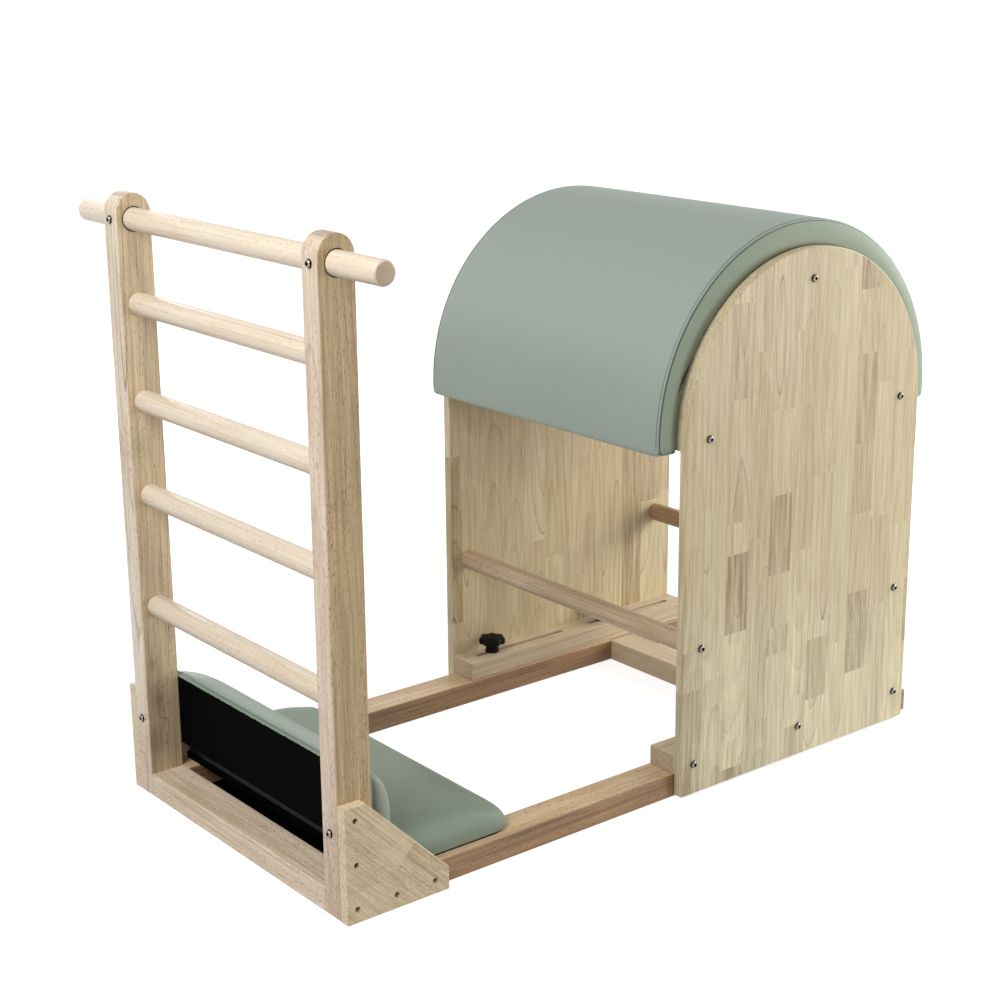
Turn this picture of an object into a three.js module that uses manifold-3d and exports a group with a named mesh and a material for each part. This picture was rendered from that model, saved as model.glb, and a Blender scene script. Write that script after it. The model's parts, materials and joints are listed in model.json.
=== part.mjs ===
// Pilates ladder barrel: a wooden ladder stands at one end of a low base frame, and a padded half-round
// barrel slides along the base's two side rails, where four star knobs clamp it.
// Millimetres, +Z up. X runs from the ladder to the barrel, Y runs across, and the floor is Z = 0.

import * as THREE from "three";
import { mergeVertices } from "three/addons/utils/BufferGeometryUtils.js";
import Module from "manifold-3d";

const wasm = await Module();
wasm.setup();

// Clearances
const fitGap = 0.3;
const cutOverrun = 2;
const barHoleClearance = 1;
const panelClearance = 1.5;
const padSideClearance = 1;
const cushionGap = 1.5;

// Ladder
const frameWidth = 596;
const ladderHeight = 1000;
const uprightDepth = 60;
const uprightThickness = 40;
const handleBarLength = 820;
const handleBarDiameter = 36;
const handleBarDrop = 40;
const handleBarEndRadius = 9;
const rungDiameter = 36;
const rungSocketDepth = 20;
const rungHeightShares = [0.344, 0.5395, 0.7, 0.8625];

// Base frame
const baseLength = 1250;
const railWidth = 60;
const railHeight = 40;
const rearCrossRailSetback = 183;

// Gussets and their screw holes
const gussetThickness = 19;
const gussetLeg = 184;
const gussetNose = 37;
const gussetScrewDiameter = 9;
const gussetScrewDepth = 10;
const gussetScrewInset = 18;
const gussetScrewRise = 22;
const gussetScrewPitch = 70;

// Back rest and foot rest beside the ladder
const restWidth = 570;
const boardThickness = 12;
const backBoardRise = 80;
const backBoardHeight = 120;
const backCushionThickness = 44;
const backCushionShoulder = 132;
const backCushionWrap = 2;
const backCushionCrown = 18;
const backCushionCrownRun = 130;
const backCushionEndTaper = 4;
const backCushionEdgeRadius = 10;
const backCushionHubInset = 1;
const footRestStart = 80;
const footRestLength = 250;
const footBoardCornerRadius = 30;
const footCushionOverhang = 3;
const footCushionThickness = 45;
const footCushionSide = 11;
const footCushionLap = 9;
const footCushionDrawIn = 3;
const footCushionFrontRound = 10;
const footCushionRearRound = 130;
const footCushionEndRound = 36;
const footCushionCornerRound = 80;
const footCushionCrown = 1.5;

// Barrel
const barrelSetback = 32;
const panelRadius = 277;
const panelThickness = 18;
const panelFloorClearance = 4;
const archCentreHeight = 612;
const deckThickness = 12;
const deckInset = 2;
const deckDrop = 20;
const padThickness = 45;
const padDrop = 24;
const dowelDiameter = 35;
const dowelOffset = 238;
const dowelHeight = 258;
const battenThickness = 36;
const sideBattenOffset = 229;
const sideBattenDrop = 4;
const topBattenRise = 226;

// Runners, slots and clamps
const runnerWidth = 58;
const runnerHeight = 34;
const slotLength = 212;
const slotWidth = 9.6;
const slotPitch = 278;
const studInSlot = 37;
const studDiameter = 8;
const studInKnob = 20;
const studReach = 20;
const insertDiameter = 12;
const insertLength = 16;
const insertHoleDepth = 26;
const knobDiameter = 50;
const knobLobeDepth = 3.8;
const knobLobes = 7;
const knobHeadHeight = 13.5;
const knobBossDiameter = 26;
const knobBossHeight = 17;

// Button head bolts
const boltDiameter = 8;
const boltHeadDiameter = 13;
const boltHeadHeight = 4.5;
const boltSocketWidth = 5;
const boltSocketDepth = 2.8;
const boltTipLength = 1;
const panelBoltGrip = 20;
const panelBoltOffset = 250;
const barBoltGrip = 22;
const boardBoltGrip = 9;
const boardBoltHeight = 134;

// Counts of flats on round pieces
const barSides = 24;
const boltSides = 12;
const archSteps = 32;
const topSteps = 20;
const cornerSteps = 6;
const lobeSteps = 5;

// Places that follow from the sizes above
const halfWidth = frameWidth / 2;
const uprightInner = halfWidth - uprightThickness;
const uprightMiddle = halfWidth - uprightThickness / 2;
const railInner = halfWidth - railWidth;
const panelInner = halfWidth + panelClearance;
const panelOuter = panelInner + panelThickness;
const barX = uprightDepth / 2;
const handleBarHeight = ladderHeight - handleBarDrop;
const barrelX = baseLength - barrelSetback - panelRadius;
const deckOuter = panelRadius - deckInset;
const deckInner = deckOuter - deckThickness;
const padOuter = deckOuter + padThickness;
const runnerMiddle = panelInner - runnerWidth / 2;
const runnerBottom = railHeight + fitGap;
const runnerTop = runnerBottom + runnerHeight;
const runnerBoltHeight = runnerBottom + runnerHeight / 2;
const slotStarts = [-1, 1].map((end) => barrelX + (end * slotPitch - slotLength) / 2);
const backBoardTop = backBoardRise + backBoardHeight;
const boardRear = uprightDepth + boardThickness;
const boltStandOff = fitGap + boltHeadHeight;
const frontEnd = -boltStandOff;
const rearEnd = Math.max(baseLength, barrelX + padOuter);
const sides = { near: -1, far: 1 };

// Materials
const wood = new THREE.MeshStandardMaterial({ color: 0xdcc8a6, roughness: 0.55, metalness: 0 });
const vinyl = new THREE.MeshStandardMaterial({ color: 0x9aa99d, roughness: 0.5, metalness: 0 });
const board = new THREE.MeshStandardMaterial({ color: 0x161617, roughness: 0.7, metalness: 0 });
const plastic = new THREE.MeshStandardMaterial({ color: 0x1b1b1c, roughness: 0.55, metalness: 0 });
const steel = new THREE.MeshStandardMaterial({ color: 0xb9b9b6, roughness: 0.3, metalness: 1 });
const brass = new THREE.MeshStandardMaterial({ color: 0xb59a5a, roughness: 0.4, metalness: 1 });

// Shapes

// Even steps of a quarter turn
const quarterShares = [0, 0.17, 0.34, 0.5, 0.67, 0.84, 1];

function middle(ring) {
  const sum = new THREE.Vector3();
  ring.forEach((point) => sum.add(point));
  return sum.divideScalar(ring.length);
}

function signedVolume(points, indices) {
  let volume = 0;
  for (let i = 0; i < indices.length; i += 3) {
    const [a, b, c] = [points[indices[i]], points[indices[i + 1]], points[indices[i + 2]]];
    volume += a.dot(b.clone().cross(c));
  }
  return volume;
}

// A closed solid through rings of as many points each, with both ends closed around a hub point.
function loft(rings, firstHub = middle(rings[0]), lastHub = middle(rings.at(-1))) {
  const count = rings[0].length;
  const points = [...rings.flat(), firstHub, lastHub];
  const first = points.length - 2;
  const last = points.length - 1;
  const lastRing = (rings.length - 1) * count;
  const indices = [];
  for (let i = 0; i < count; i += 1) {
    const next = (i + 1) % count;
    indices.push(first, next, i);
    indices.push(last, lastRing + i, lastRing + next);
    for (let level = 0; level < lastRing; level += count) {
      indices.push(level + i, level + next, level + count + next);
      indices.push(level + i, level + count + next, level + count + i);
    }
  }
  if (signedVolume(points, indices) < 0) indices.reverse();
  const geometry = new THREE.BufferGeometry().setFromPoints(points);
  geometry.setIndex(indices);
  return geometry;
}

function block([x0, x1], [y0, y1], [z0, z1]) {
  const ring = (z) => [[x0, y0], [x1, y0], [x1, y1], [x0, y1]].map(([x, y]) => new THREE.Vector3(x, y, z));
  return loft([ring(z0), ring(z1)]);
}

// An outline drawn in X and Z, made solid from one Y to another.
function plate(outline, y0, y1) {
  const ring = (y) => outline.map((point) => new THREE.Vector3(point.x, y, point.y));
  return loft([ring(y0), ring(y1)]);
}

function circle(radius, count) {
  return Array.from({ length: count }, (_, i) => {
    const angle = (2 * Math.PI * i) / count;
    return new THREE.Vector2(radius * Math.cos(angle), radius * Math.sin(angle));
  });
}

// The points of a closed shape, with neither a doubled corner nor a second start point.
function openPoints(shape, steps) {
  const points = shape.getPoints(steps);
  return points.filter((point, i) => point.distanceTo(points[(i + 1) % points.length]) > fitGap);
}

// A round bar across the object. Each station is a Y with the radius there.
function turnedBar(x, z, stations) {
  return loft(stations.map(([y, radius]) => {
    return circle(radius, barSides).map((point) => new THREE.Vector3(x + point.x, y, z + point.y));
  }));
}

function evenBar(x, z, radius, y0, y1) {
  return turnedBar(x, z, [[y0, radius], [y1, radius]]);
}

function roundRing(radius, z) {
  return circle(radius, boltSides).map((point) => new THREE.Vector3(point.x, point.y, z));
}

function post(radius, z0, z1) {
  return loft([roundRing(radius, z0), roundRing(radius, z1)]);
}

// A cylinder from one end to the other, whose flats clear a shaft of the given radius.
function hole(radius, from, to, count = boltSides) {
  const start = new THREE.Vector3(...from);
  const along = new THREE.Vector3(...to).sub(start);
  const outer = radius / Math.cos(Math.PI / count);
  const geometry = new THREE.CylinderGeometry(outer, outer, along.length(), count);
  const axis = along.clone().normalize();
  geometry.applyQuaternion(new THREE.Quaternion().setFromUnitVectors(new THREE.Vector3(0, 1, 0), axis));
  geometry.translate(...start.addScaledVector(along, 0.5).toArray());
  return geometry;
}

function toSolid(geometry) {
  const bare = geometry.clone();
  bare.deleteAttribute("normal");
  bare.deleteAttribute("uv");
  const merged = mergeVertices(bare);
  return new wasm.Manifold(new wasm.Mesh({
    numProp: 3,
    vertProperties: new Float32Array(merged.attributes.position.array),
    triVerts: new Uint32Array(merged.index.array),
  }));
}

function cut(geometry, tools) {
  let solid = toSolid(geometry);
  for (const tool of tools) solid = solid.subtract(toSolid(tool));
  const mesh = solid.getMesh();
  const result = new THREE.BufferGeometry();
  result.setAttribute("position", new THREE.BufferAttribute(new Float32Array(mesh.vertProperties), 3));
  result.setIndex(new THREE.BufferAttribute(new Uint32Array(mesh.triVerts), 1));
  return result;
}

function add(group, name, geometry, material) {
  const mesh = new THREE.Mesh(geometry, material);
  mesh.name = name;
  group.add(mesh);
  return mesh;
}

// Bolts

const boltHoleRadius = boltDiameter / 2 + fitGap;

// The button head's outline, as shares of its radius and of its height
const boltHeadShares = [
  [1, 0],
  [1, 0.25],
  [0.86, 0.7],
  [0.62, 1],
];

// A button head bolt along Z. Its head stands on Z = 0 and its shank hangs below.
function buttonBolt(shankLength) {
  const socketCorner = boltSocketWidth / Math.sqrt(3);
  const socket = (z) => circle(1, boltSides).map((point, i) => {
    const radius = i % 2 ? boltSocketWidth / 2 : socketCorner;
    return new THREE.Vector3(point.x * radius, point.y * radius, z);
  });
  const shank = boltDiameter / 2;
  return loft([
    roundRing(shank - boltTipLength, -shankLength),
    roundRing(shank, boltTipLength - shankLength),
    roundRing(shank, 0),
    ...boltHeadShares.map(([out, up]) => roundRing(out * boltHeadDiameter / 2, up * boltHeadHeight)),
    socket(boltHeadHeight),
    socket(boltHeadHeight - boltSocketDepth),
  ]);
}

function placeBolt(group, name, shankLength, position, outward) {
  const bolt = add(group, name, buttonBolt(shankLength + fitGap), steel);
  bolt.position.set(...position).addScaledVector(outward, fitGap);
  bolt.quaternion.setFromUnitVectors(new THREE.Vector3(0, 0, 1), outward);
}

// Ladder

const rungHeights = rungHeightShares.map((share) => share * handleBarHeight);
const frontBolts = [
  { level: "top", z: handleBarHeight, length: barX - handleBarDiameter / 2 + barBoltGrip },
  { level: "low", z: boardBoltHeight, length: uprightDepth + boardBoltGrip },
];

function frontBoltHole(sign, { z, length }) {
  const y = sign * uprightMiddle;
  return hole(boltHoleRadius, [-cutOverrun, y, z], [length + fitGap, y, z]);
}

function uprightOutline() {
  const radius = uprightDepth / 2;
  const shape = new THREE.Shape();
  shape.moveTo(0, 0);
  shape.lineTo(uprightDepth, 0);
  shape.lineTo(uprightDepth, ladderHeight - radius);
  shape.absarc(radius, ladderHeight - radius, radius, 0, Math.PI, false);
  shape.lineTo(0, 0);
  return openPoints(shape, topSteps);
}

function upright(sign) {
  const inner = sign * uprightInner;
  const outer = sign * halfWidth;
  const overrun = sign * cutOverrun;
  const barHole = hole(
    handleBarDiameter / 2 + barHoleClearance,
    [barX, inner - overrun, handleBarHeight],
    [barX, outer + overrun, handleBarHeight],
    barSides,
  );
  const sockets = rungHeights.map((z) => {
    const floor = inner + sign * rungSocketDepth;
    return hole(rungDiameter / 2 + fitGap, [barX, inner - overrun, z], [barX, floor, z], barSides);
  });
  return cut(plate(uprightOutline(), inner, outer), [
    barHole,
    ...sockets,
    ...frontBolts.map((bolt) => frontBoltHole(sign, bolt)),
  ]);
}

function handleBar() {
  const radius = handleBarDiameter / 2;
  const straight = handleBarLength / 2 - handleBarEndRadius;
  const far = quarterShares.map((share) => {
    const angle = share * Math.PI / 2;
    const shrink = handleBarEndRadius * (1 - Math.cos(angle));
    return [straight + handleBarEndRadius * Math.sin(angle), radius - shrink];
  });
  const near = far.map(([y, end]) => [-y, end]).toReversed();
  return cut(
    turnedBar(barX, handleBarHeight, [...near, ...far]),
    Object.values(sides).map((sign) => frontBoltHole(sign, frontBolts[0])),
  );
}

function buildLadder(group) {
  const outward = new THREE.Vector3(-1, 0, 0);
  for (const [side, sign] of Object.entries(sides)) {
    add(group, `upright_${side}`, upright(sign), wood);
    for (const { level, z, length } of frontBolts) {
      placeBolt(group, `ladder_bolt_${level}_${side}`, length, [0, sign * uprightMiddle, z], outward);
    }
  }
  add(group, "handle_bar", handleBar(), wood);
  const reach = uprightInner + rungSocketDepth - fitGap;
  rungHeights.forEach((z, i) => {
    add(group, `rung_${i + 1}`, evenBar(barX, z, rungDiameter / 2, -reach, reach), wood);
  });
}

// Base frame

function clampPlaces(sign) {
  return slotStarts.map((start) => new THREE.Vector2(start + studInSlot, sign * runnerMiddle));
}

function sideRail(sign) {
  const rail = block([uprightDepth, baseLength], [sign * railInner, sign * halfWidth], [0, railHeight]);
  return cut(rail, clampPlaces(sign).map(({ x, y }) => {
    const floor = railHeight - insertHoleDepth;
    return hole(insertDiameter / 2 + fitGap, [x, y, floor], [x, y, railHeight + cutOverrun]);
  }));
}

function gusset(sign) {
  const corners = [[0, 0], [gussetLeg, 0], [gussetLeg, gussetNose], [gussetNose, gussetLeg], [0, gussetLeg]];
  const inner = sign * halfWidth;
  const outer = sign * (halfWidth + gussetThickness);
  const screws = [[0, 0], [1, 0], [2, 0], [0, 1], [0, 2]].map(([column, row]) => {
    const x = gussetScrewInset + column * gussetScrewPitch;
    const z = gussetScrewRise + row * gussetScrewPitch;
    const floor = outer - sign * gussetScrewDepth;
    return hole(gussetScrewDiameter / 2, [x, floor, z], [x, outer + sign * cutOverrun, z]);
  });
  return cut(plate(corners.map(([x, z]) => new THREE.Vector2(x, z)), inner, outer), screws);
}

function buildBase(group) {
  const rearFace = baseLength - rearCrossRailSetback;
  const frontRail = block([0, uprightDepth], [-uprightInner, uprightInner], [0, railHeight]);
  const rearRail = block([rearFace - railWidth, rearFace], [-railInner, railInner], [0, railHeight]);
  add(group, "front_cross_rail", frontRail, wood);
  add(group, "rear_cross_rail", rearRail, wood);
  for (const [side, sign] of Object.entries(sides)) {
    add(group, `side_rail_${side}`, sideRail(sign), wood);
    add(group, `gusset_${side}`, gusset(sign), wood);
  }
}

// Back rest and foot rest

const footBoardTop = railHeight + boardThickness;
const footCushionTop = footBoardTop + footCushionThickness;

function backBoard() {
  const half = restWidth / 2;
  const whole = block([uprightDepth, boardRear], [-half, half], [backBoardRise, backBoardTop]);
  return cut(whole, Object.values(sides).map((sign) => frontBoltHole(sign, frontBolts[1])));
}

// A rounded rectangle in plan, with small front corners and large rear ones.
function restPlan(x0, x1, half, frontRadius, rearRadius, z) {
  const corners = [
    [x0 + frontRadius, -half + frontRadius, frontRadius, Math.PI],
    [x1 - rearRadius, -half + rearRadius, rearRadius, 1.5 * Math.PI],
    [x1 - rearRadius, half - rearRadius, rearRadius, 0],
    [x0 + frontRadius, half - frontRadius, frontRadius, 0.5 * Math.PI],
  ];
  return corners.flatMap(([x, y, radius, start]) => Array.from({ length: cornerSteps + 1 }, (_, i) => {
    const angle = start + (i / cornerSteps) * (Math.PI / 2);
    return new THREE.Vector3(x + radius * Math.cos(angle), y + radius * Math.sin(angle), z);
  }));
}

function footBoard() {
  const plan = (z) => restPlan(
    footRestStart,
    footRestStart + footRestLength,
    restWidth / 2 - footCushionDrawIn,
    footCushionDrawIn,
    footBoardCornerRadius,
    z,
  );
  return loft([plan(railHeight), plan(footBoardTop)]);
}

// The room that the foot cushion leaves for its board, open at the front and below.
function footBoardRoom() {
  const plan = (z) => restPlan(
    footRestStart - cutOverrun,
    footRestStart + footRestLength + fitGap,
    restWidth / 2 - footCushionDrawIn + fitGap,
    footCushionDrawIn,
    footBoardCornerRadius + fitGap,
    z,
  );
  return loft([plan(railHeight), plan(footBoardTop + fitGap)]);
}

// The seat cushion on the foot board. It laps down round the board's ends and rear edge, and is drawn in at its
// base, upright at its side, then rounded over.
function footCushion() {
  const base = footBoardTop - footCushionLap;
  const shoulder = footBoardTop + footCushionSide;
  const rise = footCushionTop - shoulder;
  const rear = footRestStart + footRestLength + footCushionOverhang;
  const level = (inset, z, drawIn) => restPlan(
    footRestStart + inset * footCushionFrontRound + drawIn,
    rear - inset * footCushionRearRound - drawIn,
    restWidth / 2 - inset * footCushionEndRound - drawIn,
    footCushionDrawIn,
    footBoardCornerRadius + inset * (footCushionCornerRound - footBoardCornerRadius),
    z,
  );
  const rings = [level(0, base, footCushionDrawIn / 3), level(0, footBoardTop, 0), level(0, shoulder, 0)];
  for (const share of quarterShares.slice(1)) {
    const angle = share * Math.PI / 2;
    rings.push(level(1 - Math.cos(angle), shoulder + rise * Math.sin(angle), 0));
  }
  const crown = middle(rings.at(-1));
  crown.z += footCushionCrown;
  return cut(loft(rings, middle(rings[0]), crown), [footBoardRoom()]);
}

// The back cushion's lower rear edge, as shares of its depth from the board and up its side
const cushionHeelShares = [
  [0.93, 0],
  [1, 0.15],
];
// Its lap over the board's top edge, as shares of the lap's reach forward and of its height
const cushionLapShares = [
  [0, 1],
  [0.5, 0.93],
  [0.85, 0.66],
  [1, 0.25],
  [1, 0],
  [0, 0],
];
// Where its slices stand at each end, as shares of its edge radius and of its crown's run
const cushionEdgeShares = [0, 0.12, 0.4, 1];
const cushionCrownShares = [0.25, 0.45, 0.7, 1];
// How much of the lap is left at the very end of its rounded edge
const cushionEndLapShare = 0.3;

// One slice of the back cushion. It lies behind the board and laps over the board's top edge.
function backCushionSlice(y) {
  const fromEnd = restWidth / 2 - Math.abs(y);
  const edgeShare = Math.min(1, fromEnd / backCushionEdgeRadius);
  const round = Math.sqrt(1 - (1 - edgeShare) ** 2);
  const crown = Math.sin(Math.min(1, fromEnd / backCushionCrownRun) * (Math.PI / 2));
  const front = boardRear + fitGap;
  const ledge = backBoardTop + fitGap;
  const bottom = footCushionTop + cushionGap;
  const taper = backCushionEndTaper * (1 - crown) + backCushionEdgeRadius * (1 - round);
  const depth = backCushionThickness - fitGap - taper;
  const lap = backCushionWrap * THREE.MathUtils.lerp(cushionEndLapShare, 1, round) + backCushionCrown * crown;
  const top = ledge + lap;
  const lip = boardThickness + fitGap;
  const slice = [
    [front, bottom],
    ...cushionHeelShares.map(([out, up]) => [front + out * depth, bottom + up * depth]),
    ...quarterShares.slice(0, -1).map((share) => {
      const angle = share * Math.PI / 2;
      const rise = (top - backCushionShoulder) * Math.sin(angle);
      return [front + depth * Math.cos(angle), backCushionShoulder + rise];
    }),
    ...cushionLapShares.map(([out, up]) => [front - out * lip, ledge + up * lap]),
  ];
  return slice.map(([x, z]) => new THREE.Vector3(x, y, z));
}

function backCushion() {
  const half = restWidth / 2;
  const edges = cushionEdgeShares.map((share) => half - share * backCushionEdgeRadius);
  const crowns = cushionCrownShares.map((share) => half - share * backCushionCrownRun);
  const far = [...edges, ...crowns];
  const stations = [...far.map((y) => -y), ...far.toReversed()];
  const [hubX, hubZ] = [boardRear, backBoardTop].map((corner) => corner + backCushionHubInset);
  const hub = (y) => new THREE.Vector3(hubX, y, hubZ);
  return loft(stations.map(backCushionSlice), hub(-half), hub(half));
}

function buildRests(group) {
  add(group, "back_board", backBoard(), board);
  add(group, "back_cushion", backCushion(), vinyl);
  add(group, "foot_board", footBoard(), board);
  add(group, "foot_cushion", footCushion(), vinyl);
}

// Barrel

const sideBattenZ = archCentreHeight - sideBattenDrop;
const panelBolts = [
  { name: "runner_front", x: -panelBoltOffset, z: runnerBoltHeight },
  { name: "runner_middle", x: 0, z: runnerBoltHeight },
  { name: "runner_rear", x: panelBoltOffset, z: runnerBoltHeight },
  { name: "dowel_front", x: -dowelOffset, z: dowelHeight },
  { name: "dowel_rear", x: dowelOffset, z: dowelHeight },
  { name: "batten_front", x: -sideBattenOffset, z: sideBattenZ },
  { name: "batten_rear", x: sideBattenOffset, z: sideBattenZ },
  { name: "batten_top", x: 0, z: archCentreHeight + topBattenRise },
];

function panelBoltHole(sign, { x, z }) {
  const tip = sign * (panelInner - panelBoltGrip - fitGap);
  const mouth = sign * (panelOuter + cutOverrun);
  return hole(boltHoleRadius, [barrelX + x, tip, z], [barrelX + x, mouth, z]);
}

// The holes for the bolts of both panels whose names start with the given word.
function boltHoles(word) {
  const chosen = panelBolts.filter((bolt) => bolt.name.startsWith(word));
  return Object.values(sides).flatMap((sign) => chosen.map((bolt) => panelBoltHole(sign, bolt)));
}

function panel(sign) {
  const shape = new THREE.Shape();
  shape.moveTo(barrelX - panelRadius, panelFloorClearance);
  shape.lineTo(barrelX + panelRadius, panelFloorClearance);
  shape.lineTo(barrelX + panelRadius, archCentreHeight);
  shape.absarc(barrelX, archCentreHeight, panelRadius, 0, Math.PI, false);
  shape.lineTo(barrelX - panelRadius, panelFloorClearance);
  const whole = plate(openPoints(shape, archSteps), sign * panelInner, sign * panelOuter);
  return cut(whole, panelBolts.map((bolt) => panelBoltHole(sign, bolt)));
}

// Stations round the arch, front foot to rear foot: where a radius starts and which way it points.
function archStations(drop) {
  const stations = [{ centreZ: archCentreHeight - drop, angle: Math.PI }];
  for (let i = 0; i <= archSteps; i += 1) {
    stations.push({ centreZ: archCentreHeight, angle: Math.PI * (1 - i / archSteps) });
  }
  stations.push({ centreZ: archCentreHeight - drop, angle: 0 });
  return stations;
}

// A section of [y, radius] pairs swept round the arch.
function archSweep(section, drop) {
  return loft(archStations(drop).map(({ centreZ, angle }) => section.map(([y, radius]) => {
    return new THREE.Vector3(barrelX + radius * Math.cos(angle), y, centreZ + radius * Math.sin(angle));
  })));
}

function deck() {
  const half = panelInner - fitGap;
  return archSweep([[-half, deckInner], [half, deckInner], [half, deckOuter], [-half, deckOuter]], deckDrop);
}

// Half of the pad's section, as shares of its half width and of its thickness. The side draws in to
// its foot and bulges below the seam, and the top crowns a little.
const padSectionShares = [
  [0.993, 0.007],
  [1, 0.26],
  [0.999, 0.56],
  [0.995, 0.767],
  [0.985, 0.889],
  [0.955, 0.938],
  [0.87, 0.969],
  [0.67, 0.989],
  [0.335, 0.998],
];

function barrelCushion() {
  const half = panelInner - padSideClearance;
  const point = ([across, up]) => [across * half, deckOuter + up * padThickness];
  const right = padSectionShares.map(point);
  const left = right.map(([y, radius]) => [-y, radius]).toReversed();
  return archSweep([...right, [0, padOuter], ...left], padDrop);
}

function runner(sign) {
  const edges = [sign * (panelInner - runnerWidth), sign * panelInner];
  const bar = block([barrelX - panelRadius, barrelX + panelRadius], edges, [runnerBottom, runnerTop]);
  const radius = slotWidth / 2;
  const slots = slotStarts.map((start) => {
    const y = sign * runnerMiddle;
    const plan = (z) => [1, -1].flatMap((end) => {
      const x = end > 0 ? start + slotLength - radius : start + radius;
      return Array.from({ length: cornerSteps + 1 }, (_, i) => {
        const angle = (i / cornerSteps) * Math.PI - Math.PI / 2;
        return new THREE.Vector3(x + end * radius * Math.cos(angle), y + end * radius * Math.sin(angle), z);
      });
    });
    return loft([plan(runnerBottom - cutOverrun), plan(runnerTop + cutOverrun)]);
  });
  return cut(bar, [...slots, ...boltHoles("runner")]);
}

function dowel(direction) {
  const x = barrelX + direction * dowelOffset;
  return cut(evenBar(x, dowelHeight, dowelDiameter / 2, -panelInner, panelInner), boltHoles("dowel"));
}

// How far a batten reaches from the arch's centre before its corner, this far off its middle line,
// meets the flats inside the deck.
function battenReach(corner) {
  const clear = deckInner * Math.cos(Math.PI / (2 * archSteps)) - fitGap;
  return Math.sqrt(clear ** 2 - corner ** 2);
}

// A batten's outer face meets the deck's inner face, and its bolts run along its middle.
function sideBatten(direction) {
  const half = battenThickness / 2;
  const reach = battenReach(half - sideBattenDrop);
  const x = [2 * sideBattenOffset - reach, reach].map((offset) => barrelX + direction * offset);
  const z = [sideBattenZ - half, sideBattenZ + half];
  return cut(block(x, [-panelInner, panelInner], z), boltHoles("batten"));
}

function topBatten() {
  const half = battenThickness / 2;
  const reach = battenReach(half);
  const z = [2 * topBattenRise - reach, reach].map((offset) => archCentreHeight + offset);
  return cut(block([barrelX - half, barrelX + half], [-panelInner, panelInner], z), boltHoles("batten_top"));
}

function buildBarrel(group) {
  for (const [side, sign] of Object.entries(sides)) {
    add(group, `barrel_panel_${side}`, panel(sign), wood);
    add(group, `runner_${side}`, runner(sign), wood);
    for (const { name, x, z } of panelBolts) {
      const position = [barrelX + x, sign * panelOuter, z];
      const outward = new THREE.Vector3(0, sign, 0);
      placeBolt(group, `bolt_${name}_${side}`, panelThickness + panelBoltGrip, position, outward);
    }
  }
  add(group, "dowel_front", dowel(-1), wood);
  add(group, "dowel_rear", dowel(1), wood);
  add(group, "batten_front", sideBatten(-1), wood);
  add(group, "batten_rear", sideBatten(1), wood);
  add(group, "batten_top", topBatten(), wood);
  add(group, "barrel_deck", deck(), wood);
  add(group, "barrel_cushion", barrelCushion(), vinyl);
}

// Clamps

// The star head's outline, as shares of its radius, of its height and of its lobes' depth
const knobHeadShares = [
  [0.95, 0, 1],
  [1, 0.12, 1],
  [1, 0.62, 1],
  [0.9, 0.78, 0.8],
  [0.45, 1, 0],
];
// How far the boss narrows up to the head
const knobBossTopShare = 0.9;

// A moulded star knob that stands on Z = 0, with a blind hole below for its stud.
function starKnob() {
  const count = knobLobes * lobeSteps;
  const ring = (radius, z, lobe = 0) => circle(1, count).map((point, i) => {
    const dip = lobe * (1 - Math.cos((2 * Math.PI * i) / lobeSteps)) / 2;
    return new THREE.Vector3(point.x * (radius - dip), point.y * (radius - dip), z);
  });
  const bore = (studDiameter / 2 + fitGap) / Math.cos(Math.PI / count);
  const boss = knobBossDiameter / 2;
  return loft([
    ring(bore, studInKnob + fitGap),
    ring(bore, 0),
    ring(boss, 0),
    ring(boss * knobBossTopShare, knobBossHeight),
    ...knobHeadShares.map(([out, up, lobe]) => {
      return ring(out * knobDiameter / 2, knobBossHeight + up * knobHeadHeight, lobe * knobLobeDepth);
    }),
  ]);
}

function buildClamps(group) {
  for (const [side, sign] of Object.entries(sides)) {
    clampPlaces(sign).forEach(({ x, y }, i) => {
      const label = `${["front", "rear"][i]}_${side}`;
      const stud = post(studDiameter / 2, railHeight - studReach, runnerTop + studInKnob);
      const top = railHeight - fitGap;
      const foot = top - insertLength;
      const bore = hole(studDiameter / 2 + fitGap, [0, 0, foot - cutOverrun], [0, 0, top + cutOverrun]);
      const insert = cut(post(insertDiameter / 2, foot, top), [bore]);
      add(group, `knob_${label}`, starKnob(), plastic).position.set(x, y, runnerTop + fitGap);
      add(group, `stud_${label}`, stud, steel).position.set(x, y, 0);
      add(group, `insert_${label}`, insert, brass).position.set(x, y, 0);
    });
  }
}

// Assembly, moved so that its origin is on the floor at the middle of its outline

const ladderBarrel = new THREE.Group();
buildLadder(ladderBarrel);
buildBase(ladderBarrel);
buildRests(ladderBarrel);
buildBarrel(ladderBarrel);
buildClamps(ladderBarrel);
ladderBarrel.position.x = -(frontEnd + rearEnd) / 2;

export default ladderBarrel;
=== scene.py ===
"""Looks of a ladder barrel: a rubberwood ladder on a low frame, with a padded half-round barrel that slides
on the frame's rails. Metres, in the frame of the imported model: X from the ladder to the barrel, Z up."""

import json
import logging
import math
from dataclasses import dataclass
from enum import Enum
from typing import Callable, Mapping, Sequence

import bmesh
import bpy
import numpy as np
from bmesh.types import BMEdge, BMesh, BMFace, BMVert
from bpy.types import Material, Node, NodeSocket, Object
from mathutils import Euler, Matrix, Vector

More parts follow.
